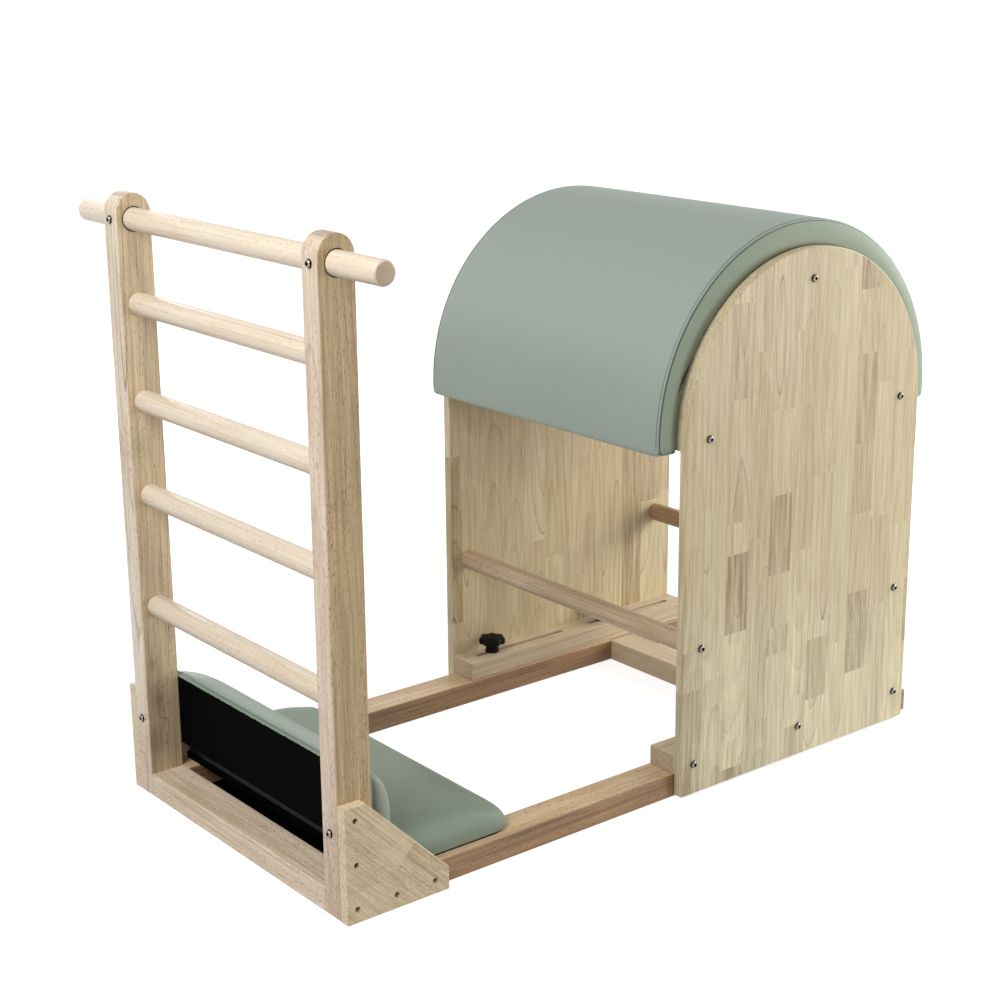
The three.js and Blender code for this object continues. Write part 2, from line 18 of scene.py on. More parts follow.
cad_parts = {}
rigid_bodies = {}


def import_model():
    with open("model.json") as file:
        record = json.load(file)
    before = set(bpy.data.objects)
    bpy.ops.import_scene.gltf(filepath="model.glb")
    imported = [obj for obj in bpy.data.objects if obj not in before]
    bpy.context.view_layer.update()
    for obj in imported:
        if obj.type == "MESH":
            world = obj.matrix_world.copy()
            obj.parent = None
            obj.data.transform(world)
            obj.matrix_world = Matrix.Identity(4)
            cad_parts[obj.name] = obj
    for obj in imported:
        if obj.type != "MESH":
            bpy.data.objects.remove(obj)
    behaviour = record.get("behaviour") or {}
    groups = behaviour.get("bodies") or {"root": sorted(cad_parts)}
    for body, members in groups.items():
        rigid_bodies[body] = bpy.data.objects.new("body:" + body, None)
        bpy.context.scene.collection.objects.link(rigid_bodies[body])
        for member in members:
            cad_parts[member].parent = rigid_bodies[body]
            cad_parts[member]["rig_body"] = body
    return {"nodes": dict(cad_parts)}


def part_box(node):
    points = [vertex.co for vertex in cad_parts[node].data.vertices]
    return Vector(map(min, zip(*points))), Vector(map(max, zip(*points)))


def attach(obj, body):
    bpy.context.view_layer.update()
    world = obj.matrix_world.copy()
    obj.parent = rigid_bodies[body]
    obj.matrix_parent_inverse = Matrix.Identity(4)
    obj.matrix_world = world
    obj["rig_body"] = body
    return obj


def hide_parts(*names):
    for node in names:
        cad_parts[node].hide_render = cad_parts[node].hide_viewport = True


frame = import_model()

log = logging.getLogger("ladder_barrel")
MM = 0.001
SIDES = {"near": -1, "far": 1}
Pair = tuple[float, float]
Point = tuple[float, float, float]
Colour = tuple[float, float, float, float]


def srgb(red: int, green: int, blue: int) -> Colour:
    """The linear colour that a shader takes, from one as a screen shows it, 0 to 255."""
    parts = [c / 255 for c in (red, green, blue)]
    linear = [c / 12.92 if c <= 0.04045 else ((c + 0.055) / 1.055) ** 2.4 for c in parts]
    return *linear, 1.0


# Shader building


def operation(kind: str, swapped: bool = False) -> Callable[..., "Value"]:
    """Makes a method that adds a Math node of a kind, with its own value last where the operands are swapped."""

    def method(self: "Value", *others: "Number") -> "Value":
        """Adds the node."""
        return self.graph.math(kind, *((*others, self) if swapped else (self, *others)))

    return method


class Value:
    """A number that varies over a surface. Arithmetic on it adds Math nodes to its graph."""

    __add__ = __radd__ = operation("ADD")
    __mul__ = __rmul__ = operation("MULTIPLY")
    __sub__ = operation("SUBTRACT")
    __rsub__ = operation("SUBTRACT", swapped=True)
    __truediv__ = operation("DIVIDE")
    floor = operation("FLOOR")
    fract = operation("FRACT")
    sqrt = operation("SQRT")
    exp = operation("EXPONENT")
    absolute = operation("ABSOLUTE")
    below = operation("LESS_THAN")
    above = operation("GREATER_THAN")

    def __init__(self, graph: "Graph", socket: NodeSocket) -> None:
        """Wraps one output socket of the graph."""
        self.graph = graph
        self.socket = socket

    def smooth(self, low: float, high: float) -> "Value":
        """Rises smoothly from 0 at low to 1 at high."""
        settings = {"interpolation_type": "SMOOTHSTEP"}
        values = {"Value": self, "From Min": low, "From Max": high}
        return Value(self.graph, self.graph.node("ShaderNodeMapRange", settings, values).outputs["Result"])


Number = Value | float


class Graph:
    """A material under way: one Principled shader and the nodes that feed it."""

    def __init__(self, name: str) -> None:
        """Starts a material of that name."""
        self.material = bpy.data.materials.new(name)
        self.material.use_nodes = True
        self.tree = self.material.node_tree
        self.shader = self.tree.nodes["Principled BSDF"]

    def feed(self, socket: NodeSocket, value: object) -> None:
        """Links a value to a socket, or sets it there when it is plain."""
        value = value.socket if isinstance(value, Value) else value
        if isinstance(value, NodeSocket):
            self.tree.links.new(value, socket)
        else:
            socket.default_value = value

    def node(self, kind: str, settings: Mapping[str, object] | None = None,
             values: Mapping[str | int, object] | None = None) -> Node:
        """Adds a node of a kind, with its settings, and feeds its inputs by name or number."""
        made = self.tree.nodes.new(kind)
        for key, setting in (settings or {}).items():
            setattr(made, key, setting)
        for key, value in (values or {}).items():
            self.feed(made.inputs[key], value)
        return made

    def math(self, operation: str, *operands: Number) -> Value:
        """Adds a Math node on these operands."""
        node = self.node("ShaderNodeMath", {"operation": operation}, dict(enumerate(operands)))
        return Value(self, node.outputs[0])

    def place(self, turn: Point = (0, 0, 0), shift: Point = (0, 0, 0)) -> NodeSocket:
        """The point on the object in millimetres, turned about X, Y and Z and then shifted."""
        where = self.node("ShaderNodeTexCoord").outputs["Object"]
        values = {"Vector": where, "Location": shift, "Rotation": turn, "Scale": (1 / MM,) * 3}
        return self.node("ShaderNodeMapping", None, values).outputs["Vector"]

    def mark(self, name: str) -> Value:
        """The number that a piece's own attribute of that name holds, or 0 where it has none."""
        return Value(self, self.node("ShaderNodeAttribute", {"attribute_name": name}).outputs["Fac"])

    def parts(self, vector: NodeSocket) -> tuple[Value, Value, Value]:
        """The three numbers of a vector."""
        node = self.node("ShaderNodeSeparateXYZ", None, {0: vector})
        return tuple(Value(self, output) for output in node.outputs)

    def vector(self, x: Number, y: Number, z: Number) -> NodeSocket:
        """A vector from three numbers."""
        return self.node("ShaderNodeCombineXYZ", None, {0: x, 1: y, 2: z}).outputs[0]

    def stretch(self, vector: NodeSocket, by: Point) -> NodeSocket:
        """The vector with each part multiplied."""
        return self.node("ShaderNodeVectorMath", {"operation": "MULTIPLY"}, {0: vector, 1: by}).outputs[0]

    def distance(self, vector: NodeSocket, point: Point) -> Value:
        """How far the vector is from a fixed point."""
        node = self.node("ShaderNodeVectorMath", {"operation": "DISTANCE"}, {0: vector, 1: point})
        return Value(self, node.outputs["Value"])

    def noise(self, vector: NodeSocket, rate: Point, detail: float = 2.0, rough: float = 0.5) -> Value:
        """Soft noise from 0 to 1 at a vector, with so many waves to a unit and so many finer layers."""
        values = {"Vector": self.stretch(vector, rate), "Scale": 1.0, "Detail": detail, "Roughness": rough}
        return Value(self, self.node("ShaderNodeTexNoise", None, values).outputs[0])

    def chance(self, value: Number, seed: float = 0.0) -> tuple[Value, Value, Value]:
        """Three even chances from 0 to 1 that depend on a value and a seed."""
        values = {"Vector": self.vector(value, seed, 0.5)}
        node = self.node("ShaderNodeTexWhiteNoise", {"noise_dimensions": "3D"}, values)
        return self.parts(node.outputs["Color"])

    def mix(self, factor: Number, first: object, second: object) -> NodeSocket:
        """A colour between two colours."""
        settings = {"data_type": "RGBA", "clamp_factor": True}
        return self.node("ShaderNodeMix", settings, {0: factor, 6: first, 7: second}).outputs[2]

    def shade(self, colour: object, factor: Number) -> NodeSocket:
        """A colour made darker or lighter."""
        colour = colour[:3] if isinstance(colour, tuple) else colour
        return self.node("ShaderNodeVectorMath", {"operation": "SCALE"}, {0: colour, "Scale": factor}).outputs[0]

    def bump(self, height: Value, depth: float) -> NodeSocket:
        """A normal from a height of 0 to 1 over a depth in metres."""
        values = {"Height": height, "Distance": depth, "Strength": 1.0}
        return self.node("ShaderNodeBump", None, values).outputs[0]

    def finish(self, **sockets: object) -> None:
        """Feeds the shader's sockets, whose names are given with low lines for spaces."""
        for name, value in sockets.items():
            self.feed(self.shader.inputs[name.replace("_", " ").title().replace("Ior", "IOR")], value)


# Finishes


ACROSS_GRAIN = 0.85


class Grain(Enum):
    """Which way the grain of a piece runs, with the turn that brings it upright."""

    ALONG = (0.0, math.radians(-90), 0.0)
    ACROSS = (math.radians(90), 0.0, 0.0)
    UPRIGHT = (0.0, 0.0, 0.0)
    SLOPING = (0.0, math.radians(-135), 0.0)

    def mark_ends(self, mesh: BMesh) -> BMesh:
        """Marks the faces of a mesh that cut across the grain, and gives the mesh back."""
        along = Euler(self.value).to_matrix().transposed() @ Vector((0, 0, 1))
        mesh.normal_update()
        return marked(mesh, "end_grain", lambda face: abs(face.normal.dot(along)) > ACROSS_GRAIN)


class Finish:
    """What a surface is finished with. Each kind lays out its own shader."""

    def lay(self, graph: Graph) -> None:
        """Lays out the shader."""
        raise NotImplementedError

    def material(self, name: str) -> Material:
        """Makes the material under a name."""
        graph = Graph(name)
        self.lay(graph)
        return graph.material


@dataclass(frozen=True)
class PaintedLight:
    """Painted light or shade for one side or end of a timber, where the lamps light it unlike the rest: its colour,
    and where along an axis of the object it sets in."""

    colour: Colour
    axis: int
    start: float
    full: float


@dataclass(frozen=True)
class Timber(Finish):
    """Lacquered rubberwood: tan streaks on cream, short dark pores, thin growth lines that close in arches, and
    painted shade, near-black, in a ring round a bore where a bar passes through it."""

    grain: Grain
    pith: Point = (60.0, 25.0, 0.0)
    slope: float = 0.05
    rise: float = 0.01
    spacing: float = 12.0
    pale: Colour = srgb(229, 214, 187)
    tan: Colour = srgb(190, 162, 128)
    brown: Colour = srgb(124, 92, 62)
    depth: float = 0.36
    streaks: float = 0.75
    fibres: float = 0.95
    clouds: float = 0.6
    lines: float = 0.42
    pores: float = 0.5
    wander: float = 24.0
    tone: float = 1.0
    painted_light: PaintedLight | None = None
    eyes: tuple[tuple[Point, float], ...] = ()
    shaded_bores: tuple[Point, ...] = ()
    # Painted shade: the colour of the ring round a bore where a bar passes through.
    gap: Colour = srgb(28, 20, 14)

    def figure(self, graph: Graph, point: NodeSocket, across: Value, deep: Value) -> tuple[Value, ...]:
        """Works out the marks of the wood at a point.

        Args:
            graph: the material under way.
            point: where the point lies in the log, in millimetres with the grain upright.
            across, deep: how far it is from the pith.
        Returns:
            Strength of the growth lines and of the pores from 0 to 1, and how far the wood is from cream to tan.
        """
        drift = (graph.noise(point, (0.006, 0.006, 0.0022), 2.0, 0.45) - 0.5) * self.wander
        across, deep = across + drift, deep + drift * 0.6
        radius = (across * across + deep * deep).sqrt()
        shade: Number = 0.0
        fine = graph.noise(point, (0.05, 0.05, 0.006), 2.0, 0.5)
        for place, size in self.eyes:
            wavy = graph.noise(graph.place(), (0.05, 0.02, 0.04), 2.0, 0.5)
            away = graph.distance(graph.stretch(graph.place(), (1.0, 0.2, 0.62)), place) / size + (wavy - 0.5) * 0.8
            knot = (away * away * -1.0).exp()
            radius = radius + knot * (self.spacing * 3.4)
            shade = shade + knot * 0.3
        ring = radius / self.spacing + (fine - 0.5) * 0.45
        late = ring.fract()
        chance = graph.chance(ring.floor(), 3.0)[0]
        shut = 1.0 - late.smooth(0.97, 1.0)
        line = late.smooth(0.86, 0.955) * shut * chance
        cells = graph.node("ShaderNodeTexVoronoi", {"feature": "F1"},
                           {"Vector": graph.stretch(point, (0.62, 0.62, 0.075)), "Scale": 1.0, "Randomness": 1.0})
        dash = 1.0 - Value(graph, cells.outputs["Distance"]).smooth(0.1, 0.36)
        crowd = graph.noise(point, (0.07, 0.07, 0.005), 3.0, 0.6).smooth(0.36, 0.66)
        streak = graph.noise(point, (0.13, 0.13, 0.0022), 3.0, 0.55)
        fibre = graph.noise(point, (0.42, 0.42, 0.011), 2.0, 0.6)
        cloud = graph.noise(point, (0.028, 0.028, 0.0045), 2.0, 0.5)
        vein = graph.noise(point, (0.27, 0.27, 0.0038), 2.0, 0.5).smooth(0.56, 0.72)
        tint = ((streak - 0.5) * self.streaks + (fibre - 0.5) * self.fibres + (cloud - 0.5) * self.clouds
                + vein * self.fibres * 0.3 + shade
                + late.smooth(0.1, 0.95) * shut * 0.12 + self.depth)
        return line, dash * (crowd * 0.8 + 0.2), tint

    def coloured(self, graph: Graph, marks: tuple[Value, ...], tan: object, extra: Number) -> NodeSocket:
        """The colour of the wood, with painted light and shade on one side or end that the lamps light unlike the
        rest, painted shade round its bores, and a little darker where its end drinks the lacquer.

        Args:
            graph: the material under way.
            marks: what the figure gave.
            tan: the colour of the streaks.
            extra: more of the brown, such as a glue line.
        Returns:
            The colour.
        """
        line, pores, tint = marks
        end = graph.mark("end_grain")
        base = graph.mix(tint, self.pale, tan)
        # Painted light and shade: one side or end takes another colour, standing for how the lamps light it.
        if self.painted_light:
            place = graph.parts(graph.place())[self.painted_light.axis]
            share = place.smooth(self.painted_light.start, self.painted_light.full)
            base = graph.mix(share, base, graph.shade(self.painted_light.colour, 1.3 - tint * 0.7))
        amount = line * self.lines + pores * self.pores * (1.0 - end * 0.5) + end * 0.42 + extra
        colour = graph.mix(amount, base, self.brown)
        # Painted shade: a near-black ring just outside each bore's bar, standing for the shadow in the gap round
        # it.
        for x, z, radius in self.shaded_bores:
            along, _, up = graph.parts(graph.place(shift=(-x, 0.0, -z)))
            inside = 1.0 - (along * along + up * up).sqrt().smooth(radius, radius + 0.8)
            colour = graph.mix(inside, colour, self.gap)
        return colour

    def lacquered(self, graph: Graph, marks: tuple[Value, ...], colour: object) -> None:
        """Lays a satin lacquer over a colour."""
        line, pores, tint = marks
        graph.finish(
            base_color=colour,
            roughness=pores * 0.15 + tint * 0.08 + 0.34,
            normal=graph.bump(1.0 - pores * 0.7 - line * 0.3, 0.00012),
            specular_ior_level=0.4,
        )

    def lay(self, graph: Graph) -> None:
        """Lays out the shader."""
        point = graph.place(self.grain.value, self.pith)
        u, v, w = graph.parts(point)
        marks = self.figure(graph, point, u + w * self.slope, v + w * self.rise)
        self.lacquered(graph, marks, graph.shade(self.coloured(graph, marks, self.tan, 0.0), self.tone))


@dataclass(frozen=True)
class Stave:
    """One stave that stands out of a glued board: its column, its ends in millimetres and how dark it is."""

    column: int
    low: float
    high: float
    dark: float


@dataclass(frozen=True)
class GluedBoard(Timber):
    """A board of narrow rubberwood staves, glued edge to edge and butted end to end."""

    heart: Colour = srgb(142, 110, 80)
    rose: Colour = srgb(190, 161, 126)
    first_joint: float = 42.0
    width: float = 50.2
    length: float = 330.0
    seed: float = 1.0
    chance_dark: float = 0.12
    uneven: float = 0.26
    staves: tuple[Stave, ...] = ()

    def lay(self, graph: Graph) -> None:
        """Lays out the shader."""
        u, v, w = graph.parts(graph.place(self.grain.value, self.pith))
        column_place = (u - self.first_joint) / self.width + 1.0
        column = column_place.floor()
        row_seed = graph.chance(column, self.seed)[0]
        along = w / self.length + row_seed * 40.0
        cell = graph.node("ShaderNodeTexVoronoi", {"voronoi_dimensions": "1D", "feature": "F1"},
                          {"W": along, "Scale": 1.0, "Randomness": 0.8})
        mark = graph.parts(cell.outputs["Color"])[0] + column
        local = (along - Value(graph, cell.outputs["W"])) * self.length
        dark = graph.chance(mark, self.seed + 5.0)[0].above(1.0 - self.chance_dark) * 0.7
        for stave in self.staves:
            here = (column - float(stave.column)).absolute().below(0.5)
            inside = here * w.above(stave.low) * w.below(stave.high)
            mark = mark + (float(stave.low) * 0.013 + 7.3 - mark) * inside
            local = local + (w - (stave.low + stave.high) / 2 - local) * inside
            dark = dark + (stave.dark - dark) * inside
        lean, turn, start = graph.chance(mark, self.seed + 9.0)
        shade, warm, bold = graph.chance(mark, self.seed + 13.0)
        middle = (column_place - column - 0.5) * self.width
        across = middle + (lean - 0.5) * 60.0 + local * (start - 0.5) * 0.08
        deep = v + (turn * 50.0 + 12.0) + local * ((shade - 0.5) * 0.36)
        point = graph.vector(middle + lean * 400.0, v + turn * 300.0, w + start * 900.0)
        line, pores, tint = self.figure(graph, point, across, deep)
        cloud = graph.noise(point, (0.035, 0.035, 0.007), 3.0, 0.6).smooth(0.32, 0.68)
        tint = tint + (shade - 0.5) * self.uneven
        gap = (column_place.fract() - 0.5).absolute().smooth(0.488, 0.5)
        marks = (line * (bold * bold * 1.3 + dark * 0.5 + 0.1), pores * (dark * 0.5 + shade * 0.5 + 0.4),
                 tint + dark * 0.2)
        colour = self.coloured(graph, marks, graph.mix(warm, self.tan, self.rose), gap * 0.14)
        vein = graph.noise(point, (0.12, 0.12, 0.006), 3.0, 0.6).smooth(0.4, 0.62)
        colour = graph.mix(dark * (vein * (cloud * 0.5 + 0.3) + 0.1), colour, self.heart)
        self.lacquered(graph, marks, graph.shade(colour, self.tone))


@dataclass(frozen=True)
class Vinyl(Finish):
    """Soft upholstery vinyl with a fine leather grain, in two shades where a side band is sewn on, with painted
    shade in a thin dark line along each seam, and black where a dust cloth is lapped over its front."""

    colour: Colour = srgb(160, 172, 161)
    band: Colour = srgb(147, 162, 143)
    # Painted shade: the colour of the thin dark line along a seam.
    crease: Colour = srgb(52, 66, 56)
    cloth: Colour = srgb(5, 5, 6)
    rough: float = 0.44
    seam: float | None = None
    cloth_front: float | None = None

    def lay(self, graph: Graph) -> None:
        """Lays out the shader."""
        point = graph.place()
        cells = graph.node("ShaderNodeTexVoronoi", {"feature": "DISTANCE_TO_EDGE"},
                           {"Vector": graph.stretch(point, (0.9, 0.9, 0.9)), "Scale": 1.0})
        pebble = Value(graph, cells.outputs["Distance"]).smooth(0.0, 0.28)
        soft = graph.noise(point, (0.012, 0.012, 0.012), 3.0, 0.5)
        fine = graph.noise(point, (2.2, 2.2, 2.2), 2.0, 0.5)
        colour = self.colour
        if self.seam is not None:
            across = graph.parts(point)[1].absolute()
            colour = graph.mix(across.smooth(self.seam, self.seam + 0.7), colour, self.band)
            # Painted shade: a thin dark line along each seam.
            line = 1.0 - (across - self.seam).absolute().smooth(0.3, 0.8)
            colour = graph.mix(line, colour, self.crease)
        if self.cloth_front is not None:
            colour = graph.mix(graph.parts(point)[0].below(self.cloth_front), colour, self.cloth)
        graph.finish(
            base_color=graph.shade(colour, (soft - 0.5) * 0.07 + pebble * 0.09 + (fine - 0.5) * 0.12 + 0.925),
            roughness=(soft - 0.5) * 0.1 + (1.0 - pebble) * 0.1 + self.rough,
            normal=graph.bump(pebble * 0.8 + fine * 0.2, 0.00007),
            specular_ior_level=0.4,
        )


@dataclass(frozen=True)
class BlackCloth(Finish):
    """Black dust cloth over a board, with a fine weave and the cover's frayed edge along its top and ends."""

    colour: Colour = srgb(4, 4, 5)
    edge: Colour = srgb(146, 160, 146)
    edge_height: float | None = None
    edge_ends: tuple[float, float] = (0.0, 0.0)

    def lay(self, graph: Graph) -> None:
        """Lays out the shader."""
        point = graph.place()
        _, y, z = graph.parts(point)
        fibre = graph.noise(point, (0.9, 0.9, 0.9), 3.0, 0.65)
        worn = graph.noise(point, (0.018, 0.018, 0.018), 3.0, 0.5)
        colour = graph.shade(self.colour, fibre * 0.5 + worn * 0.5 + 0.5)
        if self.edge_height is not None:
            ragged = graph.noise(point, (0.09, 0.09, 0.09), 3.0, 0.7) * 5.0 + (self.edge_height - 3.6)
            near, far = self.edge_ends
            colour = graph.mix(z.above(ragged), colour, self.edge)
            colour = graph.mix(y.below(near), colour, self.edge)
            colour = graph.mix(y.above(far), colour, self.edge)
        graph.finish(
            base_color=colour,
            roughness=fibre * 0.15 + 0.72,
            normal=graph.bump(fibre, 0.0002),
            specular_ior_level=0.02,
        )


@dataclass(frozen=True)
class MouldedPlastic(Finish):
    """Moulded plastic with a fine spark-eroded texture."""

    colour: Colour = srgb(7, 7, 7)
    rough: float = 0.5

    def lay(self, graph: Graph) -> None:
        """Lays out the shader."""
        point = graph.place()
        grit = graph.noise(point, (3.0, 3.0, 3.0), 2.0, 0.6)
        worn = graph.noise(point, (0.06, 0.06, 0.06), 3.0, 0.5)
        graph.finish(
            base_color=graph.shade(self.colour, worn * 0.5 + 0.75),
            roughness=grit * 0.12 + worn * 0.1 + (self.rough - 0.1),
            normal=graph.bump(grit, 0.00004),
            specular_ior_level=0.12,
        )


@dataclass(frozen=True)
class Metal(Finish):
    """Turned metal with fine rings of tool marks, a few smudges, and painted shade, near-black, where its "socket"
    mark is set.
    """

    colour: Colour = srgb(136, 133, 126)
    rough: float = 0.1
    painted_shade: Colour = srgb(14, 13, 12)

    def lay(self, graph: Graph) -> None:
        """Lays out the shader."""
        point = graph.place()
        marks = graph.noise(point, (1.4, 1.4, 1.4), 2.0, 0.6)
        smudge = graph.noise(point, (0.15, 0.15, 0.15), 3.0, 0.5)
        # Painted shade: near-black where the "socket" mark is set, in a bolt's socket and under its rim, and in a
        # screw's recess.
        deep = graph.mark("socket")
        graph.finish(
            base_color=graph.mix(deep, graph.shade(self.colour, smudge * 0.2 + 0.88), self.painted_shade),
            metallic=1.0,
            roughness=marks * 0.12 + smudge * 0.12 + deep * 0.3 + (self.rough - 0.08),
            normal=graph.bump(marks, 0.00002),
        )


@dataclass(frozen=True)
class Thread(Finish):
    """Twisted sewing thread."""

    colour: Colour = srgb(34, 42, 35)

    def lay(self, graph: Graph) -> None:
        """Lays out the shader."""
        twist = graph.noise(graph.place(), (2.0, 2.0, 2.0), 2.0, 0.6)
        graph.finish(
            base_color=graph.shade(self.colour, twist * 0.5 + 0.75),
            roughness=twist * 0.2 + 0.65,
            normal=graph.bump(twist, 0.0001),
            specular_ior_level=0.1,
        )


# Shaping


JOIN = 1e-5
SAME_PLANE = 2e-5
FLAT = math.radians(1)
CORNER = math.radians(25)


def tidy(mesh: BMesh, gap: float = 1e-6) -> None:
    """Merges doubled points and turns the faces outwards."""
    bmesh.ops.remove_doubles(mesh, verts=mesh.verts, dist=gap)
    bmesh.ops.recalc_face_normals(mesh, faces=mesh.faces)


def opened(data: bpy.types.Mesh) -> BMesh:
    """A mesh under way with what stored mesh data hold."""
    mesh = bmesh.new()
    mesh.from_mesh(data)
    return mesh


def stored(mesh: BMesh, name: str) -> bpy.types.Mesh:
    """New mesh data with what a mesh under way holds, which is freed."""
    data = bpy.data.meshes.new(name)
    mesh.to_mesh(data)
    mesh.free()
    return data


def placed(name: str, data: bpy.types.ID) -> Object:
    """A new object in the scene."""
    made = bpy.data.objects.new(name, data)
    bpy.context.scene.collection.objects.link(made)
    return made


def solid_copy(node: str) -> BMesh:
    """A closed copy of one of the model's solids."""
    mesh = opened(frame["nodes"][node].data)
    tidy(mesh, JOIN)
    return mesh


def foot_of(node: str) -> Vector:
    """The middle of the bottom of a solid's box."""
    low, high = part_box(node)
    return Vector(((low.x + high.x) / 2, (low.y + high.y) / 2, low.z))


def smooth_step(value: float, low: float, high: float) -> float:
    """Rises smoothly from 0 at low to 1 at high."""
    share = min(max((value - low) / (high - low), 0.0), 1.0)
    return share * share * (3 - 2 * share)


def in_metres(profile: Sequence[Pair]) -> list[Pair]:
    """A profile given in millimetres, in metres."""
    return [(radius * MM, height * MM) for radius, height in profile]


def turned(stations: Sequence[Pair], segments: int = 48) -> BMesh:
    """Turns a profile about the Z axis.

    Args:
        stations: radius and height of each point of the profile, from one end to the other, in metres.
        segments: how many flats the round has.
    Returns:
        The closed turned mesh.
    """
    mesh = bmesh.new()
    points = [mesh.verts.new((radius, 0.0, height)) for radius, height in stations]
    edges = [mesh.edges.new(pair) for pair in zip(points, points[1:])]
    bmesh.ops.spin(mesh, geom=points + edges, cent=(0, 0, 0), axis=(0, 0, 1), angle=2 * math.pi,
                   steps=segments, use_merge=True)
    tidy(mesh)
    return mesh


def towards(direction: Point, place: Point) -> Matrix:
    """The move that takes a mesh from the origin, with Z up, to a place, with Z along a direction."""
    turn = Vector((0, 0, 1)).rotation_difference(Vector(direction)).to_matrix().to_4x4()
    return Matrix.Translation(Vector(place)) @ turn


def marked(mesh: BMesh, name: str, test: Callable[[BMFace], bool]) -> BMesh:
    """Marks the faces of a mesh that pass a test, for a finish to read, and gives the mesh back."""
    layer = mesh.faces.layers.float.new(name)
    for face in mesh.faces:
        face[layer] = float(test(face))
    return mesh


def eased_copy(node: str, radius: float, segments: int = 3) -> BMesh:
    """Copies a solid of the model with its outer edges rounded.

    Args:
        node: the name of the solid.
        radius: how far the rounding reaches from each edge, in metres.
        segments: how many strips the rounding has.
    Returns:
        The mesh.
    """
    mesh = solid_copy(node)
    bmesh.ops.dissolve_limit(mesh, angle_limit=FLAT, verts=mesh.verts, edges=mesh.edges)
    corners = [vert.co.copy() for vert in mesh.verts]
    outer = {face for face in mesh.faces
             if max((corner - face.verts[0].co).dot(face.normal) for corner in corners) < SAME_PLANE}
    edges = [edge for edge in mesh.edges
             if len(edge.link_faces) == 2 and outer.issuperset(edge.link_faces)
             and edge.calc_face_angle() > CORNER]
    bmesh.ops.bevel(mesh, geom=edges, offset=radius, offset_type="OFFSET", affect="EDGES", segments=segments,
                    profile=0.5, material=-1, clamp_overlap=True)
    return mesh


def round_bar(node: str, end: float) -> BMesh:
    """Turns a round bar across the object in place of a faceted solid.

    Args:
        node: the solid that it stands for.
        end: the radius of its rounded ends.
    Returns:
        The mesh.
    """
    low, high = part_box(node)
    radius, half = (high.z - low.z) / 2, (high.y - low.y) / 2
    arc = [math.radians(angle) for angle in (0, 15, 30, 45, 60, 75, 90)]
    far = [(radius - end * (1 - math.cos(a)), half - end * (1 - math.sin(a))) for a in arc]
    mesh = turned([(0.0, -half)] + [(r, -h) for r, h in reversed(far)] + far + [(0.0, half)], 64)
    bmesh.ops.transform(mesh, matrix=towards((0, 1, 0), (low + high) / 2), verts=mesh.verts)
    return Grain.ACROSS.mark_ends(mesh)


@dataclass
class Maker:
    """Turns meshes into named pieces that ride on the model's bodies."""

    count: int = 0

    def piece(self, name: str, mesh: BMesh, finish: Material, body: str,
              replaces: Sequence[str] = (), crease: float = 32.0, weighted: bool = False) -> Object:
        """Ends a piece.

        Args:
            name: the piece's name.
            mesh: its shape, which is freed.
            finish: its material.
            body: the body that it moves with.
            replaces: the solids of the model that it stands for.
            crease: the angle in degrees past which an edge is drawn sharp.
            weighted: whether large faces keep their flat shading beside rounded edges.
        Returns:
            The new object.
        """
        data = stored(mesh, name)
        data.materials.append(finish)
        data.shade_smooth()
        data.set_sharp_from_angle(angle=math.radians(crease))
        made = placed(name, data)
        if weighted:
            modifier = made.modifiers.new("even_shading", "WEIGHTED_NORMAL")
            modifier.keep_sharp = True
            modifier.weight = 100
        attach(made, body)
        if replaces:
            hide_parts(*replaces)
        self.count += 1
        log.info("%s on %s: %d faces", name, body, len(data.polygons))
        return made

    def timber(self, node: str, mesh: BMesh, finish: Timber, body: str = "frame") -> None:
        """Ends a timber piece that stands for one solid, with its edges eased."""
        self.piece(f"{node}_eased", mesh, finish.material(f"timber_{node}"),
                   body, [node], weighted=True)

    def bar(self, node: str, end: float, finish: Timber, body: str = "frame") -> None:
        """Ends a round bar that stands for one solid."""
        self.piece(f"{node}_turned", round_bar(node, end), finish.material(f"timber_{node}"),
                   body, [node])


make = Maker()


# Sub-assemblies


